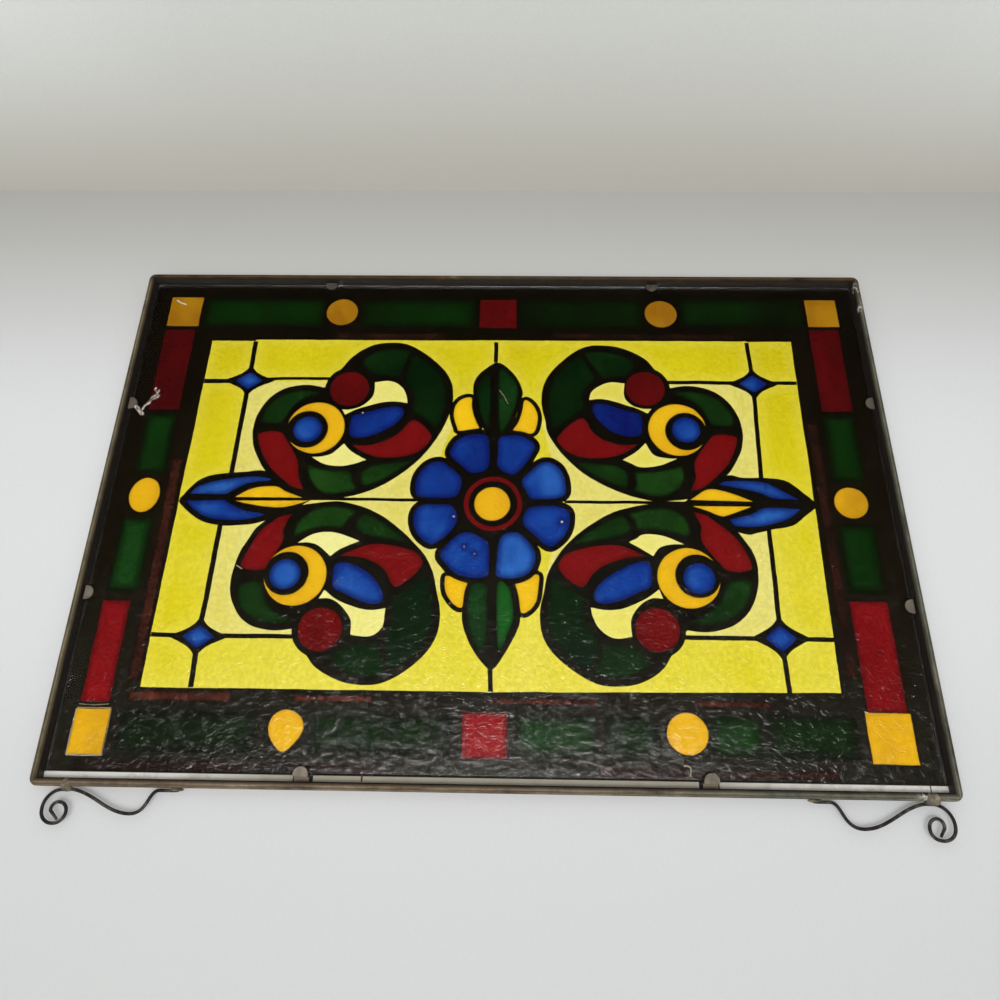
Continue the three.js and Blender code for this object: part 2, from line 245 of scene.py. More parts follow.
def rgba(colour):
    """A colour as 0-255 screen values, or linear values if it has four parts, as a linear colour."""
    if len(colour) == 4:
        return colour
    linear = [c / 255 for c in colour]
    return (*[c / 12.92 if c <= 0.04045 else ((c + 0.055) / 1.055) ** 2.4 for c in linear], 1)


# ---------------------------------------------------------------- wall and floor


# The dark drawn on the wall under the panel is a painted shadow.
SHADE_EDGE = 0.0042  # the dark under the panel ends this far inside the frame's outer edge


def stage_material(name, colour, fold_shade_colour, axis, fold, away, one_sided):
    """Plain paper with painted shade, a little darker towards the fold. The wall also has a painted shadow
    right under the panel.
    """
    g = Graph(name)
    grain = g.noise(900, 3, 0.6)
    # painted shade: the paper is drawn darker towards the fold
    tint = g.mix(g.step(g.xyz()[axis], fold, away), rgba(fold_shade_colour), rgba(colour))
    if one_sided:
        tint = g.mix(g.step(g.xyz()[axis], -0.2, 0.12), tint, rgba((199, 200, 199)))
        across = g.size(g.minus(g.xyz()[0], MIDDLE_X))
        up = g.size(g.minus(g.xyz()[2], MIDDLE_Z))
        past_side = g.step(across, HALF_W - SHADE_EDGE - 0.0003, HALF_W - SHADE_EDGE)
        past_end = g.step(up, HALF_H - SHADE_EDGE + 0.0001, HALF_H - SHADE_EDGE + 0.0003)
        outside = g.math("MAXIMUM", past_side, past_end)
        # painted shadow: the wall is drawn dark within the frame's outline, under the panel
        tint = g.mix(outside, rgba((34, 28, 24)), tint)
    g.set(Base_Color=g.mix(g.step(grain, 0.3, 0.7, 0, 0.1), tint, (0.4, 0.4, 0.4, 1)), Roughness=0.85)
    g.set(Specular_IOR_Level=0.15)
    g.bump(grain, 0.05, 0.0003)
    if one_sided:  # the wall isn't in the way of a look or a lamp from behind it
        clear = g.node("BsdfTransparent")
        ways = g.node("LightPath")
        side = g.node("NewGeometry").outputs["Backfacing"]
        both = g.node("MixShader")
        g.feed(both.inputs[0], g.math("MAXIMUM", side, ways.outputs["Is Shadow Ray"]))
        g.feed(both.inputs[1], g.shader.outputs[0])
        g.feed(both.inputs[2], clear.outputs[0])
        g.feed(g.output.inputs["Surface"], both.outputs[0])
    return g.material


def sheet_object(name, corners, material):
    mesh = bpy.data.meshes.new(name)
    mesh.from_pydata([tuple(c) for c in corners], [], [(0, 1, 2, 3)])
    mesh.materials.append(material)
    made = bpy.data.objects.new(name, mesh)
    scene.collection.objects.link(made)
    made.visible_glossy = made.visible_transmission = False


FLOOR_Z = frame_lo[2] - 0.09
WALL_Y = frame_hi[1] + 0.0003
WALL_HALF, WALL_TOP, FLOOR_HALF = 3.0, 3.0, 4.0
# Each paper's colour away from the fold, then its painted shade at the fold.
WALL_COLOURS = (219, 219, 220), (184, 183, 178)
FLOOR_COLOURS = (222, 225, 222), (190, 187, 177)
sheet_object(
    "wall",
    [(x * WALL_HALF, WALL_Y, z) for x, z in ((-1, FLOOR_Z), (1, FLOOR_Z), (1, WALL_TOP), (-1, WALL_TOP))],
    stage_material("wall_paper", *WALL_COLOURS, 2, FLOOR_Z, FLOOR_Z + 0.22, True),
)
sheet_object(
    "floor",
    [(x * FLOOR_HALF, y * FLOOR_HALF, FLOOR_Z) for x, y in ((-1, -1), (1, -1), (1, 1), (-1, 1))],
    stage_material("floor_paper", *FLOOR_COLOURS, 1, WALL_Y, WALL_Y - 0.18, False),
)


# ---------------------------------------------------------------- outlines of the picture


def smooth(points, per=5):
    """A smooth closed outline through a few points. A third value of 1 marks a sharp corner."""
    n, out = len(points), []
    for i in range(n):
        p0, p1, p2, p3 = (points[(i + k) % n] for k in (-1, 0, 1, 2))
        sharp1, sharp2 = len(p1) > 2, len(p2) > 2
        t1 = [(p2[c] - p1[c]) if sharp1 else (p2[c] - p0[c]) / 2 for c in (0, 1)]
        t2 = [(p2[c] - p1[c]) if sharp2 else (p3[c] - p1[c]) / 2 for c in (0, 1)]
        for k in range(per):
            t = k / per
            h = (2 * t**3 - 3 * t * t + 1, t**3 - 2 * t * t + t, -2 * t**3 + 3 * t * t, t**3 - t * t)
            out.append(tuple(h[0] * p1[c] + h[1] * t1[c] + h[2] * p2[c] + h[3] * t2[c] for c in (0, 1)))
    return out


def wobble(points, amount=0.35, length=14):
    """A hand-painted waver on a ruled outline."""
    out = []
    for x, y in points:
        n = noise.noise_vector(Vector((x / length, y / length, 7.3)))
        out.append((x + amount * n.x, y + amount * n.y))
    return out


def ruled(points, step=5):
    """The same closed outline with points at most a step apart, and a slight waver."""
    out = []
    for i, a in enumerate(points):
        b = points[(i + 1) % len(points)]
        n = max(1, round(math.dist(a, b) / step))
        out += [(a[0] + (b[0] - a[0]) * k / n, a[1] + (b[1] - a[1]) * k / n) for k in range(n)]
    return wobble(out)


def rect(u0, u1, v0, v1, step=5):
    return ruled([(u0, v0), (u1, v0), (u1, v1), (u0, v1)], step)


def circle(centre, r, n=40, waver=0.25):
    angles = [2 * math.pi * k / n for k in range(n)]
    return wobble([(centre[0] + r * math.cos(a), centre[1] + r * math.sin(a)) for a in angles], waver)


def stroke(points, width):
    """A line painted through a few points, as a closed outline."""
    left, right = [], []
    for i, p in enumerate(points):
        a, b = points[max(i - 1, 0)], points[min(i + 1, len(points) - 1)]
        d = math.dist(a, b)
        n = ((a[1] - b[1]) / d * width / 2, (b[0] - a[0]) / d * width / 2)
        left.append((p[0] + n[0], p[1] + n[1]))
        right.append((p[0] - n[0], p[1] - n[1]))
    return ruled(left + right[::-1], 6)


def grown(points, by):
    """An outline pushed outwards along its own normals."""
    n = len(points)
    area = 0
    for i, a in enumerate(points):
        b = points[(i + 1) % n]
        area += a[0] * b[1] - b[0] * a[1]
    sign = 1 if area > 0 else -1
    out = []
    for i, p in enumerate(points):
        a, b = points[i - 1], points[(i + 1) % n]
        d = math.dist(a, b) or 1
        out.append((p[0] + sign * by * (b[1] - a[1]) / d, p[1] - sign * by * (b[0] - a[0]) / d))
    return out


# Each wreath mirrors the far left one about the picture's middle lines, and its own marks pull it to shape.
MIRROR_U = -4.6
MARKS = {
    "bud": [(-106, 85.3), (103.2, 87), (-108.6, -87), (101.1, -84.7)],
    "crescent": [(-126.6, 54), (123.6, 54.7), (-128.1, -52.5), (123, -51.1)],
    "ring_top": [(-79.4, 124), (74.4, 122.8), (-80, -120.6), (75.6, -119.4)],
    "ring_inner": [(-33, 72), (31.1, 70), (-35, -71.7), (29.4, -70.6)],
    "ring_outer": [(-170.6, 52), (168.2, 53), (-169.7, -58), (167, -45)],
    "ring_slope": [(-57.8, 26.7), (52.7, 26.7), (-57, -26.7), (49.7, -26.7)],
    "ring_foot": [(-100, 1.5), (97.8, 1.7), (-97.8, -1.7), (92.2, -1.7)],
    "red_leaf": [(-46.7, 49.4), (41.7, 48.3), (-47.8, -45), (41.1, -46.1)],
    "opening": [(-79.4, 92), (80.6, 92.2), (-80, -91.4), (76.7, -90.6)],
    "leaf_outer": [(-66, 69), (65.6, 72.8), (-70.6, -68.3), (62.2, -66.1)],
    "leaf_inner": [(-103, 54), (99.4, 57.2), (-103.9, -50.6), (99.8, -47.2)],
    "low_opening": [(-108.9, 25), (100, 26.1), (-111.1, -22.8), (100, -22)],
    "low_corner": [(-89.4, 30), (85, 31.7), (-88.9, -29.2), (86.4, -27.8)],
    "petal_tip": [(-130, 7.2), (129.4, 8.9), (-135.6, -10.6), (130, -6.1)],
    "petal_top": [(-165.6, 48.3), (163.3, 48.3), (-163.3, -43.9), (163.9, -45)],
}
BLUE_DISCS = [((-132.3, 52.7), 10), ((129.6, 54.6), 9.7), ((-134.8, -51.8), 10), ((129.6, -51.4), 10.2)]
CORNERS = [(-1, 1), (1, 1), (-1, -1), (1, -1)]  # the hand of u and v in each quarter, far left first


def mirrored(point, quarter):
    su, sv = CORNERS[quarter]
    return (point[0] if su < 0 else MIRROR_U - point[0], point[1] * sv, *point[2:])


def in_quarter(points, quarter):
    """Points of the far left wreath as they lie in another quarter."""
    if quarter == 0:
        return list(points)
    out = []
    for point in points:
        p = mirrored(point, quarter)
        total = du = dv = 0
        for marks in MARKS.values():
            m = mirrored(marks[0], quarter)
            w = 1 / ((p[0] - m[0]) ** 2 + (p[1] - m[1]) ** 2 + 60) ** 2
            total += w
            du += w * (marks[quarter][0] - m[0])
            dv += w * (marks[quarter][1] - m[1])
        out.append((p[0] + du / total, p[1] + dv / total, *p[2:]))
    return out


WREATH_OUTLINE = [
    (-112, 103.6, 1), (-107.8, 110), (-100, 117.4), (-90, 122.6), (-79.4, 124.1), (-68.9, 123.3),
    (-58.9, 118.6), (-47.8, 110), (-38.9, 100.6), (-33.6, 90.6), (-32, 79.4), (-32.8, 70.6), (-35, 62.8),
    (-38.9, 52.8), (-45, 41.7), (-52.2, 31.7), (-62.2, 21.7), (-73.3, 13.3), (-84.4, 7.2), (-95.6, 3.3),
    (-107.8, 0.8), (-120, 0.5), (-130, 2), (-138.9, 6.1), (-146.7, 11.7), (-153.3, 17.2), (-158.3, 21.7),
    (-163.3, 29.4), (-167.8, 38.3), (-170, 47.2), (-170.4, 52.8), (-169.4, 61.7), (-165.6, 71.7),
    (-160, 79.4), (-152.2, 85), (-142.2, 87.8), (-133.3, 88), (-123.9, 86.1, 1),
]
# Family, tone (below 0 darker, above 0 lighter) and outline of each field of a wreath.
WREATH_FIELDS = [
    ("green", -0.6, [
        (-97.8, 108.3), (-91.1, 115), (-82.2, 118.3), (-73.3, 118.3), (-65.6, 116.1), (-68.9, 103.9),
        (-72.2, 96.1), (-80, 96.7), (-87.8, 97.2), (-94.4, 101.7)]),
    ("green", -0.9, [
        (-62.2, 112.8), (-53.3, 108.3), (-44.4, 99.4), (-38.9, 88.3), (-37.2, 77.2), (-38.9, 66.1),
        (-41.7, 56.1), (-46.7, 58.3), (-52.2, 62.8), (-60, 68.3), (-58.9, 76.1), (-61.1, 85),
        (-66.7, 93.9), (-64.4, 103.9)]),
    ("red", 0.0, [
        (-100, 41.1, 1), (-91.1, 40.6), (-82.2, 42.6), (-73.3, 46.7), (-66.7, 52.2), (-63.3, 57.2),
        (-58.9, 60.6), (-52.2, 56.7), (-46.1, 48.9), (-47.2, 43.9), (-52.2, 37.8), (-61.1, 33.3),
        (-73.3, 31.4), (-83.3, 32.2), (-91.1, 35), (-96.7, 38.3)]),
    ("blue", 0.0, [
        (-102.2, 62.8), (-95.6, 65.6), (-86.7, 68.3), (-76.7, 70.9), (-70, 71.1), (-66.7, 68.9),
        (-66.7, 63.9), (-71.1, 57.8), (-80, 51.7), (-88.9, 47.8), (-96.7, 46.3), (-101.7, 47.8),
        (-103.1, 52.8)]),
    ("pale", 0.0, [
        (-88.3, 90.6, 1), (-79.4, 91.9), (-73.3, 90.3), (-67.8, 85.6), (-65, 79.4), (-64.1, 73.9, 1),
        (-70, 75), (-75.6, 75.2), (-83.3, 74.1), (-92.2, 71.4), (-100, 68.6), (-107.2, 64.4, 1),
        (-109.8, 68.6, 1), (-103.3, 68.7), (-96.7, 71.1), (-91.1, 76.1), (-88.3, 81.7)]),
    ("pale", 0.3, [
        (-105.8, 41.9, 1), (-100, 35.8), (-89.4, 29.7, 1), (-95.6, 27.2), (-103.3, 25.2), (-111.1, 25),
        (-118.9, 26.7), (-126.9, 31.4, 1), (-120, 31.9), (-113.3, 34.4)]),
    ("green", -0.1, [
        (-165, 61.7), (-163.3, 68.3), (-157.8, 76.1), (-150, 81.1), (-141.1, 83.3), (-132.2, 83.3),
        (-126.7, 81.7), (-132.2, 79.4), (-138.9, 76.1), (-144.4, 70.6), (-147.8, 63.9), (-150.6, 58.3),
        (-157.8, 57.2), (-164.4, 58.3)]),
    ("red", 0.0, [
        (-166.1, 47.2), (-163.3, 50), (-156.7, 51.1), (-150, 49.7), (-145.6, 43.9), (-141.1, 37.2),
        (-136.7, 29.4), (-135, 22.8), (-134.4, 17.2), (-130, 7.2, 1), (-137.8, 9.4), (-144.4, 14.4),
        (-152.2, 21.1), (-158.9, 29.4), (-163.3, 38.3)]),
    ("green", 0.5, [
        (-128.3, 25), (-124.4, 23.9), (-117.8, 22.2), (-108.9, 21.1), (-100, 20.6), (-97.8, 13.9),
        (-95, 8.3), (-102.2, 5.6), (-111.1, 4.4), (-117.8, 5.6), (-123.3, 10.6), (-127.2, 17.2)]),
    ("green", 0.0, [
        (-91.1, 21.7), (-83.3, 25.6), (-73.3, 27.2), (-60, 28.9), (-64.4, 23.9), (-74.4, 16.7),
        (-85.6, 11.1), (-91.1, 11.7), (-92.2, 17.2)]),
]
# Black between ring and bud on the near side.
WREATH_WEBS = [
    [(-121.5, -88), (-109.5, -102.6), (-97, -112.3), (-88, -110), (-98, -98), (-110, -86)],
    [(117, -85), (110.5, -93), (101, -104.3), (87, -113.2), (80, -110), (92, -98), (104, -86)],
]
QUARTER_TONES = {
    "green": (0, 0, 0.0, 0.1),
    "red": (0, 0, 0.1, 0.15),
    "blue": (-0.4, -0.8, 0.15, 0.35),
    "pale": (0.2, -0.7, 0.6, 0),
}
CUT_OFFSET = (-5.9, -1.3)  # from the crescent's centre to the circle cut out of it

# The eight petals round the middle, with their tones.
PETALS = [
    (-0.6, [
        (-32.5, 36.7), (-28.3, 45), (-20, 49.2), (-8.3, 49.2), (-5.8, 40), (-5.8, 26.7), (-10, 21.7),
        (-18.3, 20.8), (-25, 26.7), (-30.8, 31.7)]),
    (0.0, [
        (0.8, 46.7), (8.3, 49.2), (18.3, 48), (25.3, 41.7), (23.3, 35), (18.3, 26.7), (11.7, 20),
        (5, 21.7), (0, 26.7), (0.3, 36.7)]),
    (0.25, [
        (16.7, 15), (23.3, 23.3), (31.7, 29.2), (40, 26.7), (45, 18.3), (45.8, 6.7), (40, 2.5), (30, 2),
        (22.5, 2.5), (20, 6.7)]),
    (0.05, [
        (20.8, -5), (30, -3), (40, -2.8), (47.5, -6.7), (48, -15), (45, -23.3), (38.3, -30),
        (33.3, -30.8), (25, -23.3), (17.5, -15)]),
    (0.6, [
        (1.7, -30), (5, -23.3), (13.3, -21.7), (20, -26.7), (25.8, -36.7), (23.3, -46.7), (16.7, -51.7),
        (8.3, -53), (0.8, -50.8), (0.8, -40)]),
    (0.0, [
        (-20, -21.7), (-11.7, -24.2), (-5, -30), (-4.2, -41.7), (-5, -50.8), (-13.3, -53), (-25, -50),
        (-32.5, -43.3), (-35.8, -36.7), (-28.3, -26.7)]),
    (0.1, [
        (-53.3, -6.7), (-48.3, -2.8), (-38.3, -2.5), (-30, -3.3), (-25.8, -11.7), (-30, -21.7),
        (-40, -30), (-46.7, -28.3), (-52.5, -21.7), (-54.7, -13.3)]),
    (-0.3, [
        (-54.7, 8.3), (-53.3, 18.3), (-46.7, 26.7), (-38.3, 28.8), (-31.7, 24.2), (-24.2, 16.7),
        (-25, 6.7), (-30, 2.5), (-41.7, 2), (-51.7, 3.3)]),
]
HUB = (-2.5, -1.5)
LEAVES = {
    "far": [
        (-2.5, 108.3, 1), (-12.5, 100), (-17.5, 91.7), (-18, 81.7), (-15.8, 68.3), (-11.7, 56.7),
        (-6.7, 50), (0, 47), (8.3, 51.7), (11.7, 61.7), (15.8, 76.7), (16.7, 85), (11.7, 96.7),
        (3.3, 105.8)],
    "near": [
        (-18.3, -58.3), (-20, -70), (-20, -81.7), (-15, -95), (-8.3, -105), (-2.5, -110.8, 1),
        (1.7, -108.3), (10, -95), (15.8, -81.7), (15.8, -70), (13.3, -58.3), (8, -50), (-12, -50)],
}
LEAF_HALVES = [
    (-0.8, [
        (-7.5, 96.7), (-12.5, 91.7), (-14.7, 81.7), (-12.5, 68.3), (-8.3, 56.7), (-6.3, 63.3), (-5.8, 80)]),
    (-0.2, [
        (0.8, 102.5), (6.7, 98.3), (12.5, 90), (13.3, 80), (10, 66.7), (5.8, 56.7), (1.7, 52.5),
        (0.3, 66.7), (0, 86.7)]),
    (0.1, [
        (-15, -58.3), (-5.8, -57.5), (-5, -70), (-5.3, -91.7), (-8.3, -98.3), (-14.2, -88.3),
        (-16.7, -75)]),
    (0.9, [
        (1.7, -56.7), (8.3, -58.3), (10.8, -66.7), (11.7, -78.3), (8.3, -88.3), (3.3, -98.3),
        (1.7, -86.7)]),
]
AMBER_PETALS = [
    [
        (-19.2, 78.7), (-25.8, 77.5), (-30.3, 71.7), (-30.8, 63.3), (-28.3, 55), (-26.3, 52.5),
        (-13, 54.7, 1), (-16.7, 63.3), (-18.7, 71.7)],
    [
        (18.3, 76.7), (23.3, 74.2), (27, 66.7), (27, 58.3), (23.3, 50.8), (10.3, 53.3, 1), (14.2, 60),
        (16.7, 68.3)],
    [
        (-30, -51.7), (-16.3, -57, 1), (-19.2, -63.3), (-20.3, -71.7), (-25, -70.8), (-30.8, -63.3),
        (-32, -55)],
    [
        (26.7, -50), (27.5, -58.3), (25.8, -68.3), (20.8, -74.2), (16.7, -74.7), (15, -66.7),
        (13, -56.3, 1)],
]
SPEAR_OUTLINES = [
    [
        (-212, 0, 1), (-210.8, 1.7), (-203.3, 11.7), (-195, 16.7), (-183.3, 18.8), (-170, 20),
        (-158.3, 20.8), (-140, 14), (-122, 0.6, 1), (-140, -10), (-158.3, -17.2), (-170, -18.7),
        (-180, -19.2), (-193.3, -16.7), (-203.3, -10.8), (-211.7, -3.3)],
    [
        (211, 0, 1), (210, 1.7), (203.3, 8.3), (193.3, 16.7), (180, 18.9), (164.4, 18.9), (154.4, 20.6),
        (138, 14), (124, 0.4, 1), (140, -12), (161.1, -21.1), (171.1, -20), (180, -17.8), (193.3, -15),
        (203.3, -7.5), (209.7, -2.5)],
]
SPEARS = [
    ("blue", 0.95, [
        (-205.8, 3.3, 1), (-201.7, 8.3), (-191.7, 12.5), (-176.7, 15.3), (-163.3, 16.3), (-155, 15.3),
        (-153.3, 13.8), (-166.7, 11.7), (-175, 7.5), (-181.7, 3.3, 1)]),
    ("amber", 0.4, [
        (-175, 1.3, 1), (-168.3, 5.8), (-160, 8.7), (-148.3, 9.2), (-141.7, 5.8), (-130, 1.3, 1)]),
    ("blue", 0.15, [
        (-207.5, -1.7, 1), (-181.7, -0.8, 1), (-175, -5), (-166.7, -8.3), (-154.2, -10.8),
        (-163.3, -14.2), (-176.7, -15.3), (-191.7, -13.3), (-201.7, -7.5)]),
    ("amber", 0.4, [(-174.2, -1.3, 1), (-125, -0.8, 1), (-140.8, -5.5), (-153.3, -5.3), (-166.7, -3.3)]),
    ("blue", 0.4, [
        (147.8, 13.9, 1), (153.3, 16.1), (166.7, 16.7), (180, 15), (191.7, 8.3), (200, 3.3, 1),
        (183.3, 4.2), (173.3, 8.3), (158.3, 11.7)]),
    ("amber", 0.4, [(128.3, 2.5, 1), (140, 10), (150, 9.2), (160, 5.8), (169.2, 1.7, 1)]),
    ("blue", 0.5, [
        (153.9, -12.8), (156.7, -15.6), (168.9, -16.1), (180, -14.1), (191.7, -10), (200, -3.3, 1),
        (183.3, -2.5), (175, -3.3), (166.7, -7.5), (154.2, -10.8)]),
    ("amber", 0.4, [(129.4, -1.9, 1), (167.8, -1.9, 1), (152.2, -8.1), (146.7, -8.6), (137.8, -4.8)]),
]
# Centre, half width and half height of each small blue diamond, far left first.
DIAMONDS = [
    ((-178.7, 91.3), 9.5, 7), ((179.5, 91.5), 9.5, 7), ((-183.8, -92.7), 9.8, 7), ((176.5, -89), 9.6, 8),
]
# The straight lines between the fields, and how wide each is.
LINES = [
    ([(-2.5, 124.8), (-2.5, 108)], 3.0), ([(-2, -110), (-1.3, -123.6)], 3.0),
    ([(-125, 0.5), (-50, 0.5)], 2.2), ([(45, 0.3), (130, 0.3)], 2.2),
    ([(-178.5, 124.6), (-178.7, 91), (-180.5, 14)], 3.4), ([(178.5, 126), (179.5, 91), (176.5, 14)], 3.0),
    ([(-181.7, -14), (-183.8, -92), (-183.1, -123.5)], 3.4),
    ([(177.5, -14), (176.5, -89), (177.5, -121.6)], 3.1), ([(-211, 90.8), (-178.7, 91)], 3.6),
    ([(-178.7, 92.4), (-150, 93.5), (-112, 93.5)], 2.4), ([(116, 92.3), (179.5, 92.3), (210, 92.3)], 2.9),
    ([(-213.5, -91.8), (-183.8, -92), (-114, -91.8)], 2.9),
    ([(112, -89.3), (176.5, -89.3), (208.5, -89.3)], 2.9),
]
FIELD = [
    (-210.5, 124.8), (0, 125), (210.5, 126.8), (209.5, 0), (208, -121.2), (0, -123.7), (-214, -123.8),
    (-212.5, 0),
]
# Tones of the plain yellow ground between the lines.
CELLS = [
    ("yellow", 0.1, [(-178.5, 126), (178.5, 127), (178.5, 92.5), (60, 93), (0, 93), (-178.5, 92)]),
    ("cream", 0.2, [(-180, 90), (-112, 92), (-30, 60), (-50, 0.5), (-181, 0.5)]),
    ("cream", 0.2, [(179, 90), (112, 92), (30, 60), (45, 0.5), (178, 0.5)]),
    ("cream", 0.0, [(-183, -90), (-112, -91), (-30, -60), (-50, 0.5), (-182, 0.5)]),
    ("cream", 0.0, [(177, -88), (112, -90), (30, -60), (45, 0.5), (178, 0.5)]),
]

# The coloured fields of the border: each family's tones and outlines. The far fields have lower tones than
# the near ones, partly the paint's own deeper colour and partly painted shade.
BORDER = [
    ("amber", [
        (-0.95, rect(-247, -223.3, 137.5, 163.3)), (-0.95, rect(225, 247.5, 139.8, 163.5)),
        (-0.1, rect(-249.7, -229.2, -163, -137)), (-0.1, rect(220, 246.7, -161.2, -132.5)),
        (-1.0, circle((-117.5, 150.7), 11.6)), (-1.0, circle((118.3, 150.5), 11.7)),
        (0.1, smooth([
            (-132.8, -146), (-130, -138.6), (-122.5, -135.7), (-114.5, -139.5), (-111.9, -146.5),
            (-116, -154.3), (-123, -159.7), (-130, -153.6)])),
        (0.2, circle((114.8, -146.1), 12)),
        (0.0, smooth([
            (-246.7, 2), (-243.5, 11), (-236.5, 14.7), (-229, 11), (-226.3, 2), (-229.5, -6.6),
            (-236.5, -10.3), (-243.5, -6.8)])),
        (-0.25, circle((233.6, 1.5), 11))]),
    ("red", [(-1.0, rect(-15, 12, 137.5, 162.5))]),
    ("border_red", [
        (1.1, rect(-18, 8.7, -161.7, -135.8)), (-0.9, rect(-246.7, -225, 67.5, 134.2)),
        (0.7, rect(-248.3, -230.8, -133, -70.3)), (-0.8, rect(224.7, 246, 70, 137)),
        (0.5, rect(221.7, 245.3, -132, -65))]),
    ("border_green", [
        (-0.1, rect(-220, -130, 137, 163)), (-0.4, rect(-103, -18, 137, 163)),
        (-0.5, rect(15, 105, 137, 163)), (-0.3, rect(132, 222, 139, 164)),
        (0.3, rect(-247, -225, 18, 64)), (0.6, rect(-248, -227, -64, -14)), (0.0, rect(224, 246, 16, 66)),
        (0.1, rect(222, 246, -60, -14)), (0.2, rect(14, 62, -160, -137)),
        (0.5, rect(129, 158, -159, -136)), (-0.6, rect(-108, -24, -160, -137)),
        (-0.6, rect(-222, -140, -161, -138)), (-0.5, rect(66, 98, -160, -137)),
        (-0.5, rect(162, 214, -159, -135))]),
    ("rust", [
        (0.05, rect(-220, -158, -132, -125.5)), (0.35, rect(-120, -72, -131, -127)),
        (0.2, rect(-6, 62, -131, -127)), (0.1, rect(118, 166, -131, -127)),
        (-0.25, rect(-222.5, -215, -120, 30)), (-0.7, rect(-120, -40, 127.5, 132.5)),
        (-0.8, rect(40, 170, 128.5, 133)), (-0.7, rect(212.5, 219.5, -112, 60)),
        (-0.6, rect(60, 200, -171, -165.5)), (-0.9, rect(-245, -60, -171.5, -165.5))]),
]
# Marks in the paint: points, width and tone of each, then the centre and radius of each speck.
SCRATCHES = [
    ([(-243.5, 160.8), (-240, 158.4), (-235.3, 156.6)], 1.1, 0.8),
    ([(0.5, 85), (4, 80), (6.5, 74)], 0.6, -0.3), ([(-167, -46), (-163, -48.5)], 0.7, 0.1),
    ([(-249.9, -137), (-250.2, -150), (-250, -163)], 0.6, -0.2),
    ([(-250, -163.4), (-240, -163.6), (-229, -163.2)], 0.7, 0.0),
    ([(-228.8, -163), (-228.6, -150), (-228.9, -137)], 0.5, -0.4),
    ([(-249.6, -136.6), (-240, -136.3), (-229, -136.6)], 0.6, -0.2),
    ([(-249, -134.3), (-240, -134.8), (-231, -134.2)], 0.5, -0.4),
    ([(111.6, -163.8), (114, -164), (115.2, -165.6), (115, -167.6), (114, -169.4)], 0.6, -0.1),
    ([(219.8, -131.8), (221.6, -132.6)], 0.6, 0.5), ([(14, -161), (17, -160.6)], 0.5, -0.2),
]
SPECKS = [
    ((-28, -11), 0.7), ((43, -14), 0.7), ((-95, 66), 0.5), ((-20.5, -32), 0.45), ((-13.7, -36.5), 0.45),
]


def four_pointed(u, v, reach_u, reach_v, waist_u, waist_v):
    """A star with four sharp points and round waists between them."""
    tips = [(-1, 0), (0, 1), (1, 0), (0, -1)]
    waists = [(-1, 1), (1, 1), (1, -1), (-1, -1)]
    out = []
    for (tip_u, tip_v), (side_u, side_v) in zip(tips, waists):
        out.append((u + tip_u * reach_u, v + tip_v * reach_v, 1))
        out.append((u + side_u * waist_u, v + side_v * waist_v))
    return out


def picture_regions():
    """The painted areas as (family, tone, outline), each laid over the ones before it."""
    out = [("border", 0.0, ruled([(-258.5, -172), (258.5, -172), (258.5, 173.5), (-258.5, 173.5)], 8))]
    out += [(family, tone, outline) for family, fields in BORDER for tone, outline in fields]
    out.append(("yellow", 0.0, ruled(FIELD, 8)))
    for family, tone, points in CELLS:
        out.append((family, tone, ruled(points, 8)))

    def black(*outlines):
        out.extend(("black", 0.0, outline) for outline in outlines)

    black(*[stroke(points, width) for points, width in LINES], *map(smooth, WREATH_WEBS))
    for (u, v), w, h in DIAMONDS:
        black(smooth(four_pointed(u, v, w + 9, h + 6, w * 0.6, h * 0.9)))
        out.append(("blue", 0.4, smooth(four_pointed(u, v, w, h, w * 0.45, h * 0.62))))
    black(*map(smooth, SPEAR_OUTLINES))
    for quarter in range(4):
        bud, moon = MARKS["bud"][quarter], MARKS["crescent"][quarter]
        su, sv = CORNERS[quarter]
        cut = (moon[0] - su * CUT_OFFSET[0], moon[1] + sv * CUT_OFFSET[1])
        black(smooth(in_quarter(WREATH_OUTLINE, quarter)), circle(bud, 17.6), circle(moon, 22.5))
        for family, tone, points in WREATH_FIELDS:
            out.append((family, tone + QUARTER_TONES[family][quarter], smooth(in_quarter(points, quarter))))
        out.append(("red", -0.9 if sv > 0 else -0.3, circle(bud, 13.8)))
        out.append(("amber", 0.3, circle(moon, 19.9)))
        black(circle(cut, 14.4))
        disc, r = BLUE_DISCS[quarter]
        out.append(("blue", 0.1 if sv > 0 else 0.25, circle(disc, r)))
    out += [(family, tone, smooth(points)) for family, tone, points in SPEARS]
    black(*[grown(smooth(points), 3) for points in AMBER_PETALS])
    out += [("amber", 0.7, smooth(points)) for points in AMBER_PETALS]
    black(*map(smooth, LEAVES.values()), *[grown(smooth(points), 3.6) for _, points in PETALS])
    black(circle(HUB, 30))
    out += [("leaf", tone, smooth(points)) for tone, points in LEAF_HALVES]
    out += [("blue", tone, smooth(points)) for tone, points in PETALS]
    out.append(("red", 0.1, circle(HUB, 19.4)))
    black(circle(HUB, 16.3))
    out.append(("amber", 0.0, circle((-3, -1.8), 12)))
    out += [("scratch", tone, stroke(points, width)) for points, width, tone in SCRATCHES]
    out += [("scratch", 0.8, circle(centre, r, 10, 0.1)) for centre, r in SPECKS]
    return out


# ---------------------------------------------------------------- the painted sheet


def inside(x, y, points):
    hit = False
    j = len(points) - 1
    for i, (xi, yi) in enumerate(points):
        xj, yj = points[j]
        if (yi > y) != (yj > y) and x < (xj - xi) * (y - yi) / (yj - yi) + xi:
            hit = not hit
        j = i
    return hit


GRID_STEP = 3.4  # distance between the points that fill the fields
GRID_U, GRID_V = (-254.0, 256), (-168.0, 172)


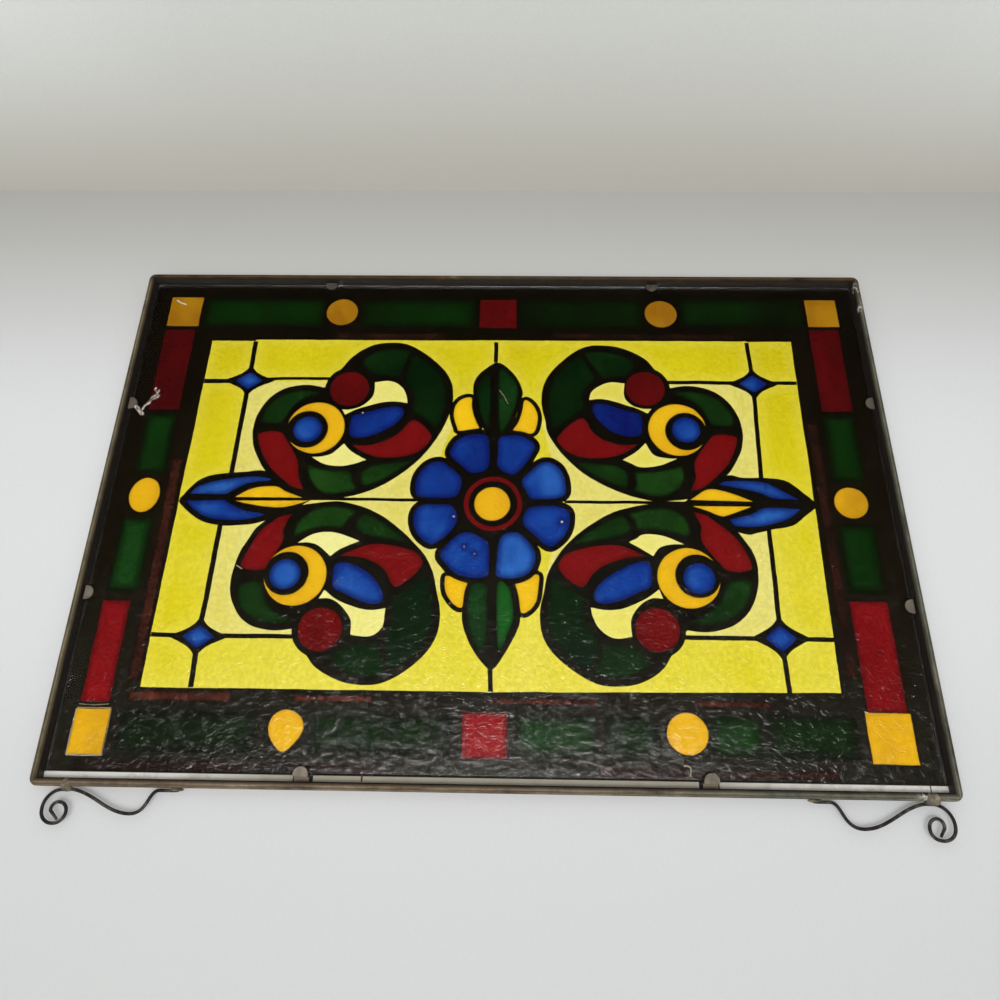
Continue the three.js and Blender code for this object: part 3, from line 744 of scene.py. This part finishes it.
def paint_triangles():
    """The picture cut into triangles that stop at every outline, with the family and tone of each."""
    regions = picture_regions()
    verts, edges = [], []
    for _, _, points in regions:
        first = len(verts)
        verts += points
        edges += [(first + k, first + (k + 1) % len(points)) for k in range(len(points))]
    u, row = GRID_U[0], 0
    while u < GRID_U[1]:
        v = GRID_V[0] + (GRID_STEP / 2 if row % 2 else 0)
        while v < GRID_V[1]:
            verts.append((u, v))
            v += GRID_STEP
        u += GRID_STEP * 0.87
        row += 1
    points, _, triangles, *_ = delaunay_2d_cdt([Vector(p) for p in verts], edges, [], 0, 0.02)
    boxes = []
    for family, tone, outline in regions:
        us, vs = [p[0] for p in outline], [p[1] for p in outline]
        boxes.append((min(us), max(us), min(vs), max(vs)))
    order = list(zip(boxes, regions))[::-1]
    kept, found = [], []
    for tri in triangles:
        x = sum(points[i].x for i in tri) / 3
        y = sum(points[i].y for i in tri) / 3
        for (u0, u1, v0, v1), (family, tone, outline) in order:
            if u0 <= x <= u1 and v0 <= y <= v1 and inside(x, y, outline):
                kept.append(tuple(tri))
                found.append((family, tone))
                break
    return points, kept, found


def edge_distance(points, triangles, found):
    """How far each point is from the nearest change of colour, in millimetres."""
    side = {}
    for tri, what in zip(triangles, found):
        for k in range(3):
            side.setdefault(tuple(sorted((tri[k], tri[(k + 1) % 3]))), []).append(what)
    rim = {i for edge, whats in side.items() if len(whats) == 2 and whats[0][0] != whats[1][0] for i in edge}
    tree = kdtree.KDTree(len(rim))
    for n, i in enumerate(rim):
        tree.insert((points[i].x, points[i].y, 0), n)
    tree.balance()
    return [0.0 if i in rim else tree.find((p.x, p.y, 0))[2] for i, p in enumerate(points)]


def new_object(name, mesh, materials):
    made = bpy.data.objects.new(name, mesh)
    scene.collection.objects.link(made)
    for material in materials:
        mesh.materials.append(material)
    return made


def slab_mesh(name, points, triangles, y0, y1):
    """Flat triangles made a closed solid between two depths.

    Gives the mesh, the points it uses and, for each of its faces, the triangle it is from.
    """
    used = sorted({i for tri in triangles for i in tri})
    number = {i: n for n, i in enumerate(used)}
    n = len(used)
    verts = [at(points[i].x, points[i].y, y) for y in (y0, y1) for i in used]
    faces, source, open_edges = [], [], {}
    for t, tri in enumerate(triangles):
        a, b, c = (number[i] for i in tri)
        # u and v turn the way the front does, so a triangle that turns left in them faces the front
        faces += [(a, b, c), (c + n, b + n, a + n)]
        source += [t, t]
        for e in ((a, b), (b, c), (c, a)):
            if (e[1], e[0]) in open_edges:
                del open_edges[(e[1], e[0])]
            else:
                open_edges[e] = t
    for (a, b), t in open_edges.items():
        faces.append((b, a, a + n, b + n))
        source.append(t)
    mesh = bpy.data.meshes.new(name)
    mesh.from_pydata(verts, [], faces)
    return mesh, used, source


WRINKLES = 175  # scale of the fine wrinkles in the hammered glass, which the paint behind them follows


def wrinkle(g, depth):
    g.bump(g.noise(WRINKLES, 2, 0.6, distortion=2.4), 1.0, depth)


def paint_material(name, dark, base, light, strokes, mottle, rim, rim_width, pale_rim=False):
    """Three tones that drift in soft strokes, a rim darker or paler than the middle, and fine mottling."""
    g = Graph(name)
    drift = g.noise(strokes[0], 3, 0.55, distortion=0.6)
    long = g.noise(strokes[1], 2, 0.5, g.scaled(1, 1, 0.35, (3, 1, 2)))
    mixed = g.plus(g.times(drift, 0.6), g.times(long, 0.4))
    # the tone attribute holds each field's own tone and the painted light towards the near edge
    tone_and_painted_light = g.times(g.attribute("tone"), 0.5)
    level = g.plus(g.times(g.minus(mixed, 0.5), 1.3), tone_and_painted_light)
    level = g.math("ADD", level, 0.5, clamp=True)
    colour = g.ramp(level, (0.0, dark), (0.5, base), (1.0, light))
    edge = g.step(g.attribute("edge"), 0.0, rim_width, rim, 0.0)
    colour = g.mix(edge, colour, rgba(light if pale_rim else dark))
    fine = g.noise(420, 3, 0.6)
    colour = g.mix(mottle, colour, g.ramp(fine, (0.35, (120, 120, 120)), (0.65, (255, 255, 255))), "MULTIPLY")
    g.set(Base_Color=colour, Roughness=g.step(fine, 0.3, 0.7, 0.18, 0.26), Specular_IOR_Level=0.5)
    wrinkle(g, 0.00034)
    return g.material


# Dark, middle and light tone of each paint, scales of its strokes, mottling, strength and width of its rim in
# millimetres, and whether that rim is pale.
PAINT_LOOKS = {
    "border": ((14, 7, 0), (24, 16, 3), (32, 29, 19), (18, 60), 0.4, 0.3, 3),
    "border_green": ((8, 12, 0), (6, 44, 0), (20, 68, 16), (14, 30), 0.3, 0.95, 8),
    "border_red": ((74, 0, 2), (118, 0, 4), (152, 8, 16), (22, 40), 0.35, 0.75, 4.5),
    "rust": ((24, 13, 6), (72, 31, 18), (140, 62, 42), (40, 90), 0.5, 0.95, 2.8),
    "scratch": ((92, 80, 58), (170, 160, 132), (240, 236, 222), (60, 90), 0.3, 0.0, 1),
    "yellow": ((214, 194, 0), (230, 212, 4), (242, 228, 84), (12, 24), 0.22, 0.34, 10, True),
    "cream": ((222, 202, 56), (234, 219, 98), (243, 233, 140), (12, 24), 0.2, 0.4, 9, True),
    "pale": ((226, 208, 52), (240, 228, 108), (248, 242, 156), (14, 26), 0.12, 0.3, 4, True),
    "amber": ((160, 106, 1), (238, 178, 3), (254, 206, 2), (20, 40), 0.16, 0.3, 2.5),
    "blue": ((0, 15, 96), (4, 58, 150), (48, 114, 202), (30, 50), 0.16, 0.85, 5.5),
    "red": ((88, 0, 0), (122, 0, 2), (140, 6, 12), (24, 50), 0.25, 0.55, 3.5),
    "green": ((1, 27, 1), (14, 47, 6), (30, 74, 14), (24, 50), 0.25, 0.6, 2.6),
    "leaf": ((2, 32, 1), (14, 52, 12), (20, 90, 24), (30, 50), 0.12, 0.6, 3),
    "black": ((8, 4, 0), (15, 10, 2), (26, 22, 12), (40, 90), 0.3, 0.0, 1),
}
PAINTS = {family: paint_material(family + "_paint", *look) for family, look in PAINT_LOOKS.items()}
# Painted light and glare: how much lighter each paint is drawn from the far edge of the picture to the near
# one.
NEAR_PAINTED_LIGHT = {"border": 0.7, "black": 0.6, "yellow": 0.5, "cream": 0.25}
FAMILIES = list(PAINTS)
PICTURE_HALF = 125  # half the picture's height


def make_picture():
    points, triangles, found = paint_triangles()
    edge = edge_distance(points, triangles, found)
    mesh, used, source = slab_mesh("painted_picture", points, triangles, PAINT_FRONT, PAINT_BACK)
    picture = new_object("painted_picture", mesh, PAINTS.values())
    mesh.polygons.foreach_set("material_index", [FAMILIES.index(found[t][0]) for t in source])
    far = [edge[i] for i in used]
    mesh.attributes.new("edge", "FLOAT", "POINT").data.foreach_set("value", far + far)
    tones = []
    for p, t in zip(mesh.polygons, source):
        family, tone = found[t]
        for vertex in p.vertices:
            # each field's own tone plus painted light, lighter towards the near edge and darker towards the
            # far one
            tones.append(tone - NEAR_PAINTED_LIGHT.get(family, 0) * points[used[vertex % len(used)]].y / PICTURE_HALF)
    mesh.attributes.new("tone", "FLOAT", "CORNER").data.foreach_set("value", tones)
    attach(picture, "root")

    hole_u, hole_v = 252, 167.5  # the black lines stand proud only inside the ledge
    clear = [abs(p.x) < hole_u and abs(p.y) < hole_v for p in points]
    lines = []
    for tri, (family, _) in zip(triangles, found):
        if family == "black" or (family == "border" and all(clear[i] for i in tri)):
            lines.append(tri)
    mesh, used, source = slab_mesh("painted_lines", points, lines, PAINT_BACK - 0.02, RELIEF_BACK)
    relief = new_object("painted_lines", mesh, [PAINTS["black"]])
    far = [edge[i] for i in used]
    mesh.attributes.new("edge", "FLOAT", "POINT").data.foreach_set("value", far + far)
    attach(relief, "root")
    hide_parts("painted_outlines")
    print("picture:", len(picture.data.polygons), "faces, lines:", len(relief.data.polygons))


make_picture()


# ---------------------------------------------------------------- the hammered pane


def glass_material():
    g = Graph("hammered_glass")
    g.set(Base_Color=(0.985, 0.99, 0.975, 1), Roughness=0.12, IOR=1.45, Transmission_Weight=1.0)
    wrinkle(g, 0.0003)
    return g.material


PANE_STEP = 1.6
DIMPLE = 0.16  # depth of the hammering, in millimetres
PANE_INSET = 0.05


def hammered(x, z):
    p = Vector((x / 5.2, z / 5.2, 0.4))
    near, second = noise.voronoi(p)[0][:2]
    ridge = min(1.0, max(0.0, near * 1.25))
    ripple = noise.noise(Vector((x / 2.9, z / 2.9, 4.1)))
    return DIMPLE * (1 - ridge * ridge) + 0.05 * ripple + 0.05


def make_pane():
    x0, x1 = pane_lo[0] / MM + PANE_INSET, pane_hi[0] / MM - PANE_INSET
    z0, z1 = pane_lo[2] / MM + PANE_INSET, pane_hi[2] / MM - PANE_INSET
    y0, y1 = pane_lo[1] / MM, pane_hi[1] / MM
    nx, nz = round((x1 - x0) / PANE_STEP), round((z1 - z0) / PANE_STEP)
    verts, faces = [], []
    for j in range(nz + 1):
        for i in range(nx + 1):
            x, z = x0 + (x1 - x0) * i / nx, z0 + (z1 - z0) * j / nz
            verts.append((x * MM, (y0 + max(0.0, hammered(x, z))) * MM, z * MM))
    rim = [i for i in range(nx + 1)] + [(nx + 1) * j + nx for j in range(1, nz + 1)]
    rim += [(nx + 1) * nz + i for i in range(nx - 1, -1, -1)] + [(nx + 1) * j for j in range(nz - 1, 0, -1)]
    for j in range(nz):
        for i in range(nx):
            a = (nx + 1) * j + i
            faces.append((a, a + 1, a + nx + 2, a + nx + 1))
    first = len(verts)
    verts += [(verts[i][0], y1 * MM, verts[i][2]) for i in rim]
    n = len(rim)
    faces += [(rim[k], first + k, first + (k + 1) % n, rim[(k + 1) % n]) for k in range(n)]
    faces.append(tuple(first + k for k in range(n))[::-1])
    mesh = bpy.data.meshes.new("hammered_pane")
    mesh.from_pydata(verts, [], faces)
    pane = new_object("hammered_pane", mesh, [glass_material()])
    for k, p in enumerate(mesh.polygons):
        p.use_smooth = k < nx * nz
    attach(pane, "root")
    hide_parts("glass_pane")
    # the paint behind it is lit as if the glass weren't there
    pane.visible_shadow = pane.visible_diffuse = False
    print("pane:", len(mesh.polygons), "faces")


make_pane()


# ---------------------------------------------------------------- metal


RIM_W = 4.3  # the upright rim's width, in millimetres
# The ledge's painted shade, its painted lit strip and that strip's near-white ends.
LEDGE_SHADE, LEDGE_LIT, LEDGE_ENDS = (26, 23, 20), (176, 168, 152), (244, 240, 232)
# Painted light and shade on each side of the rail: lightest on the near side, darkest on the far side.
SIDE_PAINTED_LIGHT = {
    "near": (156, 138, 116),
    "far": (118, 94, 62),
    "left": (150, 140, 112),
    "right": (132, 134, 120),
}
TABS_NEAR = (0.110, -0.126)  # where the two near tabs stand, along X from the middle
SCUFFS = [(-264, 156, 3), (262, 170, 6), (261, 152, 4), (245, -177, 7)]


def plain_metal(g, level, colour, metallic):
    scratches = g.noise(700, 3, 0.6)
    g.set(Base_Color=colour, Roughness=g.step(level, 0.35, 0.65, 0.66, 0.46), Metallic=metallic)
    g.bump(g.plus(scratches, g.times(level, 1.5)), 0.35, 0.0003)
    return g.material


def metal_material(name, dark, base, light):
    g = Graph(name)
    level = g.noise(160, 4, 0.65)
    return plain_metal(g, level, g.ramp(level, (0.3, dark), (0.5, base), (0.7, light)), 0.3)


def painted_side_light(g, across, up):
    """Each side's painted light and shade, with the near one changing along its length."""
    rail_in, rail_out = HALF_H - 0.006, HALF_H - 0.004
    tones = {side: rgba(colour) for side, colour in SIDE_PAINTED_LIGHT.items()}
    near = g.mix(g.step(across, 0.02, -0.2), tones["near"], tones["right"])
    tone = g.mix(g.step(up, rail_in, rail_out), tones["left"], near)
    tone = g.mix(g.step(up, -rail_out, -rail_in), tones["far"], tone)
    on_right = g.step(across, -HALF_W + RIM_W * MM, -HALF_W + RIM_W * MM + MM, 1, 0)
    right = g.times(on_right, g.step(g.size(up), rail_out, rail_in))
    return g.mix(right, tone, tones["right"])


def rim_light_and_shade_lines(g, colour, depth, y, streaks):
    """Painted highlights and shade in lines along the front of the rim, wavering with its streaks, and
    painted shade on its inner wall.
    """
    waver = g.plus(depth, g.times(g.minus(streaks, 0.5), 1.6))
    # painted highlights and shade across the rim's rounded front
    light, dark = (255, 252, 246), (118, 106, 94)
    stops = [(0.0, (176, 172, 166)), (0.12, (238, 235, 230)), (0.26, (176, 170, 162))]
    stops += [(0.42, light), (0.6, (176, 168, 158)), (0.84, dark)]
    ridge_light_and_shade = g.ramp(g.times(waver, 0.2), *stops)
    rim = g.times(g.step(y, -0.0005, -0.0025), g.step(depth, RIM_W + 0.3, RIM_W - 0.1))
    colour = g.mix(rim, colour, g.mix(1.0, colour, ridge_light_and_shade, "MULTIPLY"))
    # painted shade: the rim's inner wall is drawn dark
    inner = g.times(g.step(depth, RIM_W - 0.2, RIM_W - 0.08), g.step(y, 0.0031, 0.0029))
    return g.mix(inner, colour, rgba((46, 39, 33)))


def scuffed(g, colour):
    for u, v, r in SCUFFS:
        n = g.node("VectorMath", operation="DISTANCE")
        g.feed(n.inputs[0], g.place)
        n.inputs[1].default_value = at(u, v, -4)
        patch = g.step(n.outputs["Value"], r * MM, 0.3 * r * MM)
        worn = g.step(g.noise(420, 4, 0.7), 0.5, 0.6, 0, 0.8)
        colour = g.mix(g.times(patch, worn), colour, rgba((214, 208, 196)))
    return colour


def ledge_colour(g, across, up, cloud):
    """The ledge: painted dark shade, with a painted lit strip along the near side, whitest towards its ends,
    that the two tab straps cross.
    """
    strip = g.mix(g.step(g.size(across), 0.1, 0.2), rgba(LEDGE_LIT), rgba(LEDGE_ENDS))
    strip = g.mix(g.step(cloud, 0.45, 0.65, 0, 0.3), strip, rgba((150, 134, 112)))
    strip_in, strip_out = HALF_H - 0.0083, HALF_H - 0.0046
    lit = g.times(g.step(up, strip_in, strip_in + 0.0004), g.step(up, strip_out, strip_out - 0.0003))
    foot = g.math("MINIMUM", *[g.size(g.minus(across, middle)) for middle in TABS_NEAR])
    on_strap = g.step(foot, 0.0044, 0.0042)
    strip = g.mix(g.step(foot, 0.0042, 0.0044), rgba((158, 144, 124)), strip)
    lit = g.times(lit, g.math("MAXIMUM", g.step(foot, 0.0048, 0.0052), on_strap))
    return g.mix(lit, rgba(LEDGE_SHADE), strip)


def rail_material():
    """Old lead-grey channel with streaks, wear and rust spots, and painted light and shade on every side,
    along the rim, on its inner wall, on the tabs and on the ledge.
    """
    g = Graph("rail_metal")
    x, y, z = g.xyz()
    across, up = g.minus(x, MIDDLE_X), g.minus(z, MIDDLE_Z)
    from_side, from_end = g.minus(HALF_W, g.size(across)), g.minus(HALF_H, g.size(up))
    depth = g.times(g.math("MINIMUM", from_side, from_end), 1 / MM)  # millimetres in from the outer edge
    lengthwise = g.step(g.minus(from_end, from_side), -0.0002, 0.0002)
    upright, level_run = g.noise(30, 5, 0.7, g.scaled(9, 9, 1)), g.noise(30, 5, 0.7, g.scaled(1, 9, 9))
    streaks = g.mix(lengthwise, level_run, upright)
    cloud = g.noise(70, 5, 0.7)
    level = g.plus(g.times(cloud, 0.45), g.times(streaks, 0.55))
    shading = g.ramp(level, (0.34, (128, 124, 118)), (0.5, (222, 220, 216)), (0.64, (255, 255, 255)))
    colour = g.mix(1.0, painted_side_light(g, across, up), shading, "MULTIPLY")
    colour = g.mix(g.step(level, 0.56, 0.68, 0, 0.55), colour, rgba((196, 186, 164)))
    colour = rim_light_and_shade_lines(g, colour, depth, y, streaks)
    spots = g.step(g.noise(95, 5, 0.7, g.scaled(1, 1, 1, (5, 2, 9))), 0.6, 0.7, 0, 0.8)
    spots = g.times(spots, g.step(up, HALF_H - 0.0155, HALF_H - 0.0045, 0.25, 1.0))
    colour = scuffed(g, g.mix(spots, colour, rgba((104, 66, 44))))
    # the tabs' painted light: drawn lit on the near side and shaded on the far side, blotched with the cloud
    tab = g.times(g.step(depth, RIM_W + 0.7, RIM_W + 1.2), g.step(y, 0.0, -0.0003))
    tab_painted_light = g.mix(g.step(up, -0.17, 0.165), rgba((66, 61, 55)), rgba((146, 136, 120)))
    colour = g.mix(tab, colour, g.mix(g.step(cloud, 0.35, 0.65), tab_painted_light, rgba((110, 100, 88))))
    ledge = g.times(g.step(y, 0.0026, 0.0031), g.step(y, 0.0039, 0.0035))
    ledge = g.times(ledge, g.step(depth, RIM_W - 0.5, RIM_W - 0.2))
    return plain_metal(g, level, g.mix(ledge, colour, ledge_colour(g, across, up, cloud)), 0.2)


def dress(node, material):
    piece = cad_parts[node]
    piece.data.materials.clear()
    piece.data.materials.append(material)


wire_metal = metal_material("wire_metal", (34, 31, 29), (56, 51, 47), (112, 104, 94))
solder_metal = metal_material("solder_metal", (76, 68, 55), (116, 105, 88), (166, 154, 132))
dress("window_frame", rail_material())

# Hand-bent wires, measured outwards from the frame's middle as in the CAD part, in millimetres.
WIRE_R = 0.97
WIRE_Z = 181.9
SCROLLS = {
    "right": {
        "sign": 1,
        "joint": 243.3,
        "crest": 205,
        "crest_z": 194.5,
        "inner": 190,
        "end": 179,
        "curl": (247.2, 193.5),
        "radii": (11.6, 8.4, 6.6, 5.7, 4.6, 3.2),
        "tip": (245.6, 198.1),
        "blob": (243.2, 3.2),
        "end_blob": (180, 4.6),
    },
    "left": {
        "sign": -1,
        "joint": 247,
        "crest": 208.3,
        "crest_z": 195.6,
        "inner": 191,
        "end": 182,
        "curl": (249.5, 194.5),
        "radii": (12.6, 9.3, 6.2, 5.0, 5.0, 3.2),
        "tip": (249.8, 198.8),
        "blob": (248.0, 4.9),
        "end_blob": (183, 4.8),
    },
}


def bezier(p0, p1, p2, p3, n):
    out = []
    for k in range(n):
        t = k / n
        w = ((1 - t) ** 3, 3 * t * (1 - t) ** 2, 3 * t * t * (1 - t), t**3)
        out.append(tuple(sum(w[i] * p[c] for i, p in enumerate((p0, p1, p2, p3))) for c in (0, 1)))
    return out


def scroll_path(s):
    """The wire's centre line as x and z in millimetres from the frame's middle."""
    span, run = s["crest"] - s["inner"], s["joint"] - s["crest"]
    out = [(s["end"] + k * 2.2, WIRE_Z) for k in range(5)]
    inner, crest, joint, top = s["inner"], s["crest"], s["joint"], s["crest_z"]
    out += bezier((inner, WIRE_Z), (inner + 0.43 * span, WIRE_Z), (crest - 0.7 * span, top), (crest, top), 14)
    out += bezier((crest, top), (crest + 0.37 * run, top), (joint - 0.37 * run, WIRE_Z), (joint, WIRE_Z), 18)
    cx, cz = s["curl"]
    start = math.atan2(s["joint"] - cx, cz - WIRE_Z)
    for k in range(61):
        q = 5 * k / 60
        i = min(int(q), 4)
        f = q - i
        r0, r1 = s["radii"][i : i + 2]
        r = r0 + (r1 - r0) * (f * f * (3 - 2 * f) * 0.4 + f * 0.6)
        a = start * (1 - min(q, 1)) + q * math.pi / 2
        out.append((cx + r * math.sin(a), cz - r * math.cos(a)))
    out.append(s["tip"])
    return [Vector((s["sign"] * x * MM + MIDDLE_X, 0, z * MM + MIDDLE_Z)) for x, z in out]


def tube(name, path, radius, material, sides=14, rough=0.05):
    """A round wire along a path in the plane y = 0, with a slightly uneven surface and rounded ends."""
    bm = bmesh.new()
    rings = []
    n = len(path)
    for i, p in enumerate(path):
        t = (path[min(i + 1, n - 1)] - path[max(i - 1, 0)]).normalized()
        side = t.cross(Vector((0, 1, 0))).normalized()
        r = radius * (0.75 if i in (0, n - 1) else 1)
        ring = []
        for k in range(sides):
            a = 2 * math.pi * k / sides
            d = side * math.cos(a) + Vector((0, 1, 0)) * math.sin(a)
            uneven = 1 - rough * (0.5 + 0.5 * noise.noise((p + d * 0.001) * 700))
            ring.append(bm.verts.new(p + d * r * uneven))
        rings.append(ring)
    for a, b in zip(rings, rings[1:]):
        for k in range(sides):
            bm.faces.new((a[k], b[k], b[(k + 1) % sides], a[(k + 1) % sides]))
    bm.faces.new(rings[0])
    bm.faces.new(rings[-1][::-1])
    bmesh.ops.recalc_face_normals(bm, faces=bm.faces)
    return finish_bmesh(name, bm, [material])


def finish_bmesh(name, bm, materials):
    mesh = bpy.data.meshes.new(name)
    bm.to_mesh(mesh)
    bm.free()
    for p in mesh.polygons:
        p.use_smooth = True
    made = new_object(name, mesh, materials)
    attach(made, "root")
    return made


def lumps(name, blobs, material, lumpy=0.16):
    """Lumps of solder: each is a place and three radii in millimetres, made uneven inwards."""
    bm = bmesh.new()
    for (x, y, z), radii in blobs:
        middle = Vector((MIDDLE_X + x * MM, y * MM, MIDDLE_Z + z * MM))
        for v in bmesh.ops.create_icosphere(bm, subdivisions=4, radius=1)["verts"]:
            d = v.co.normalized()
            broad, fine = noise.noise(d * 2.1 + Vector((x, y, z))), noise.noise(d * 7)
            uneven = 1 - lumpy * (0.5 + 0.5 * broad) - 0.05 * (0.5 + 0.5 * fine)
            v.co = middle + Vector([d[c] * radii[c] * uneven * MM for c in range(3)])
    return finish_bmesh(name, bm, [material])


for hand, s in SCROLLS.items():
    wire = tube("wire_scroll_" + hand, scroll_path(s), WIRE_R * MM, wire_metal)
    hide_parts("scroll_wire_" + hand)
    (bx, bw), (ex, ew), sign = s["blob"], s["end_blob"], s["sign"]
    blobs = [((sign * bx, -1.6, 181.0), (bw, 3.4, 2.4)), ((sign * bx, -3.3, 179.2), (bw * 0.95, 1.7, 3.2))]
    blobs.append(((sign * ex, -0.3, 181.3), (ew, 1.2, 1.15)))
    lumps("solder_" + hand, blobs, solder_metal)

# Strands of old glue by the tabs on the left, each through a few places u, v and with its own half width.
GLUE = [
    ([(-257, 72.5), (-253.5, 67), (-250.5, 64), (-248.2, 61.8)], 1.5),
    ([(-250, 65.5), (-248.4, 69), (-245.6, 71.5), (-244.6, 75.5), (-241.6, 78), (-240.4, 82)], 0.75),
    ([(-247.4, 71), (-244.4, 74), (-241, 75.6), (-239.6, 78)], 0.6),
    ([(-242, 79), (-243.6, 82), (-243.2, 84)], 0.7), ([(-257.3, -62.5), (-255.4, -68)], 0.8),
]
GLUE_FRONT, GLUE_BACK = -0.66, -0.02  # the glue lies on the glass, just clear of it


def glue_material():
    g = Graph("dried_glue")
    crumbs = g.noise(900, 3, 0.6)
    colour = g.ramp(crumbs, (0.38, (78, 62, 56)), (0.5, (164, 146, 138)), (0.62, (226, 214, 206)))
    g.set(Base_Color=colour, Roughness=0.6)
    g.bump(crumbs, 0.8, 0.0006)
    return g.material


def make_glue():
    bm = bmesh.new()
    for points, half in GLUE:
        run = []
        for a, b in zip(points, points[1:]):
            run += [(a[0] + (b[0] - a[0]) * t, a[1] + (b[1] - a[1]) * t) for t in (0, 0.25, 0.5, 0.75)]
        run.append(points[-1])
        front, back = [], []
        for side, order in ((1, run), (-1, run[::-1])):
            for k, (u, v) in enumerate(order):
                before, after = order[max(k - 1, 0)], order[min(k + 1, len(order) - 1)]
                d = math.dist(before, after)
                wide = half * (0.45 + 1.1 * abs(noise.noise(Vector((u * 0.9, v * 0.9, side * 3.1)))) + 0.25)
                if k in (0, len(order) - 1):
                    wide *= 0.4
                u, v = u - (after[1] - before[1]) / d * wide, v + (after[0] - before[0]) / d * wide
                front.append(bm.verts.new(at(u, v, GLUE_FRONT)))
                back.append(bm.verts.new(at(u, v, GLUE_BACK)))
        n, half_n = len(front), len(run)
        for ring, flip in ((front, False), (back, True)):
            for k in range(half_n - 1):
                quad = (ring[k], ring[k + 1], ring[n - 2 - k], ring[n - 1 - k])
                bm.faces.new(quad[::-1] if flip else quad)
        for k in range(n):
            bm.faces.new((front[k], back[k], back[(k + 1) % n], front[(k + 1) % n]))
    bmesh.ops.recalc_face_normals(bm, faces=bm.faces)
    return finish_bmesh("old_glue", bm, [glue_material()])


make_glue()
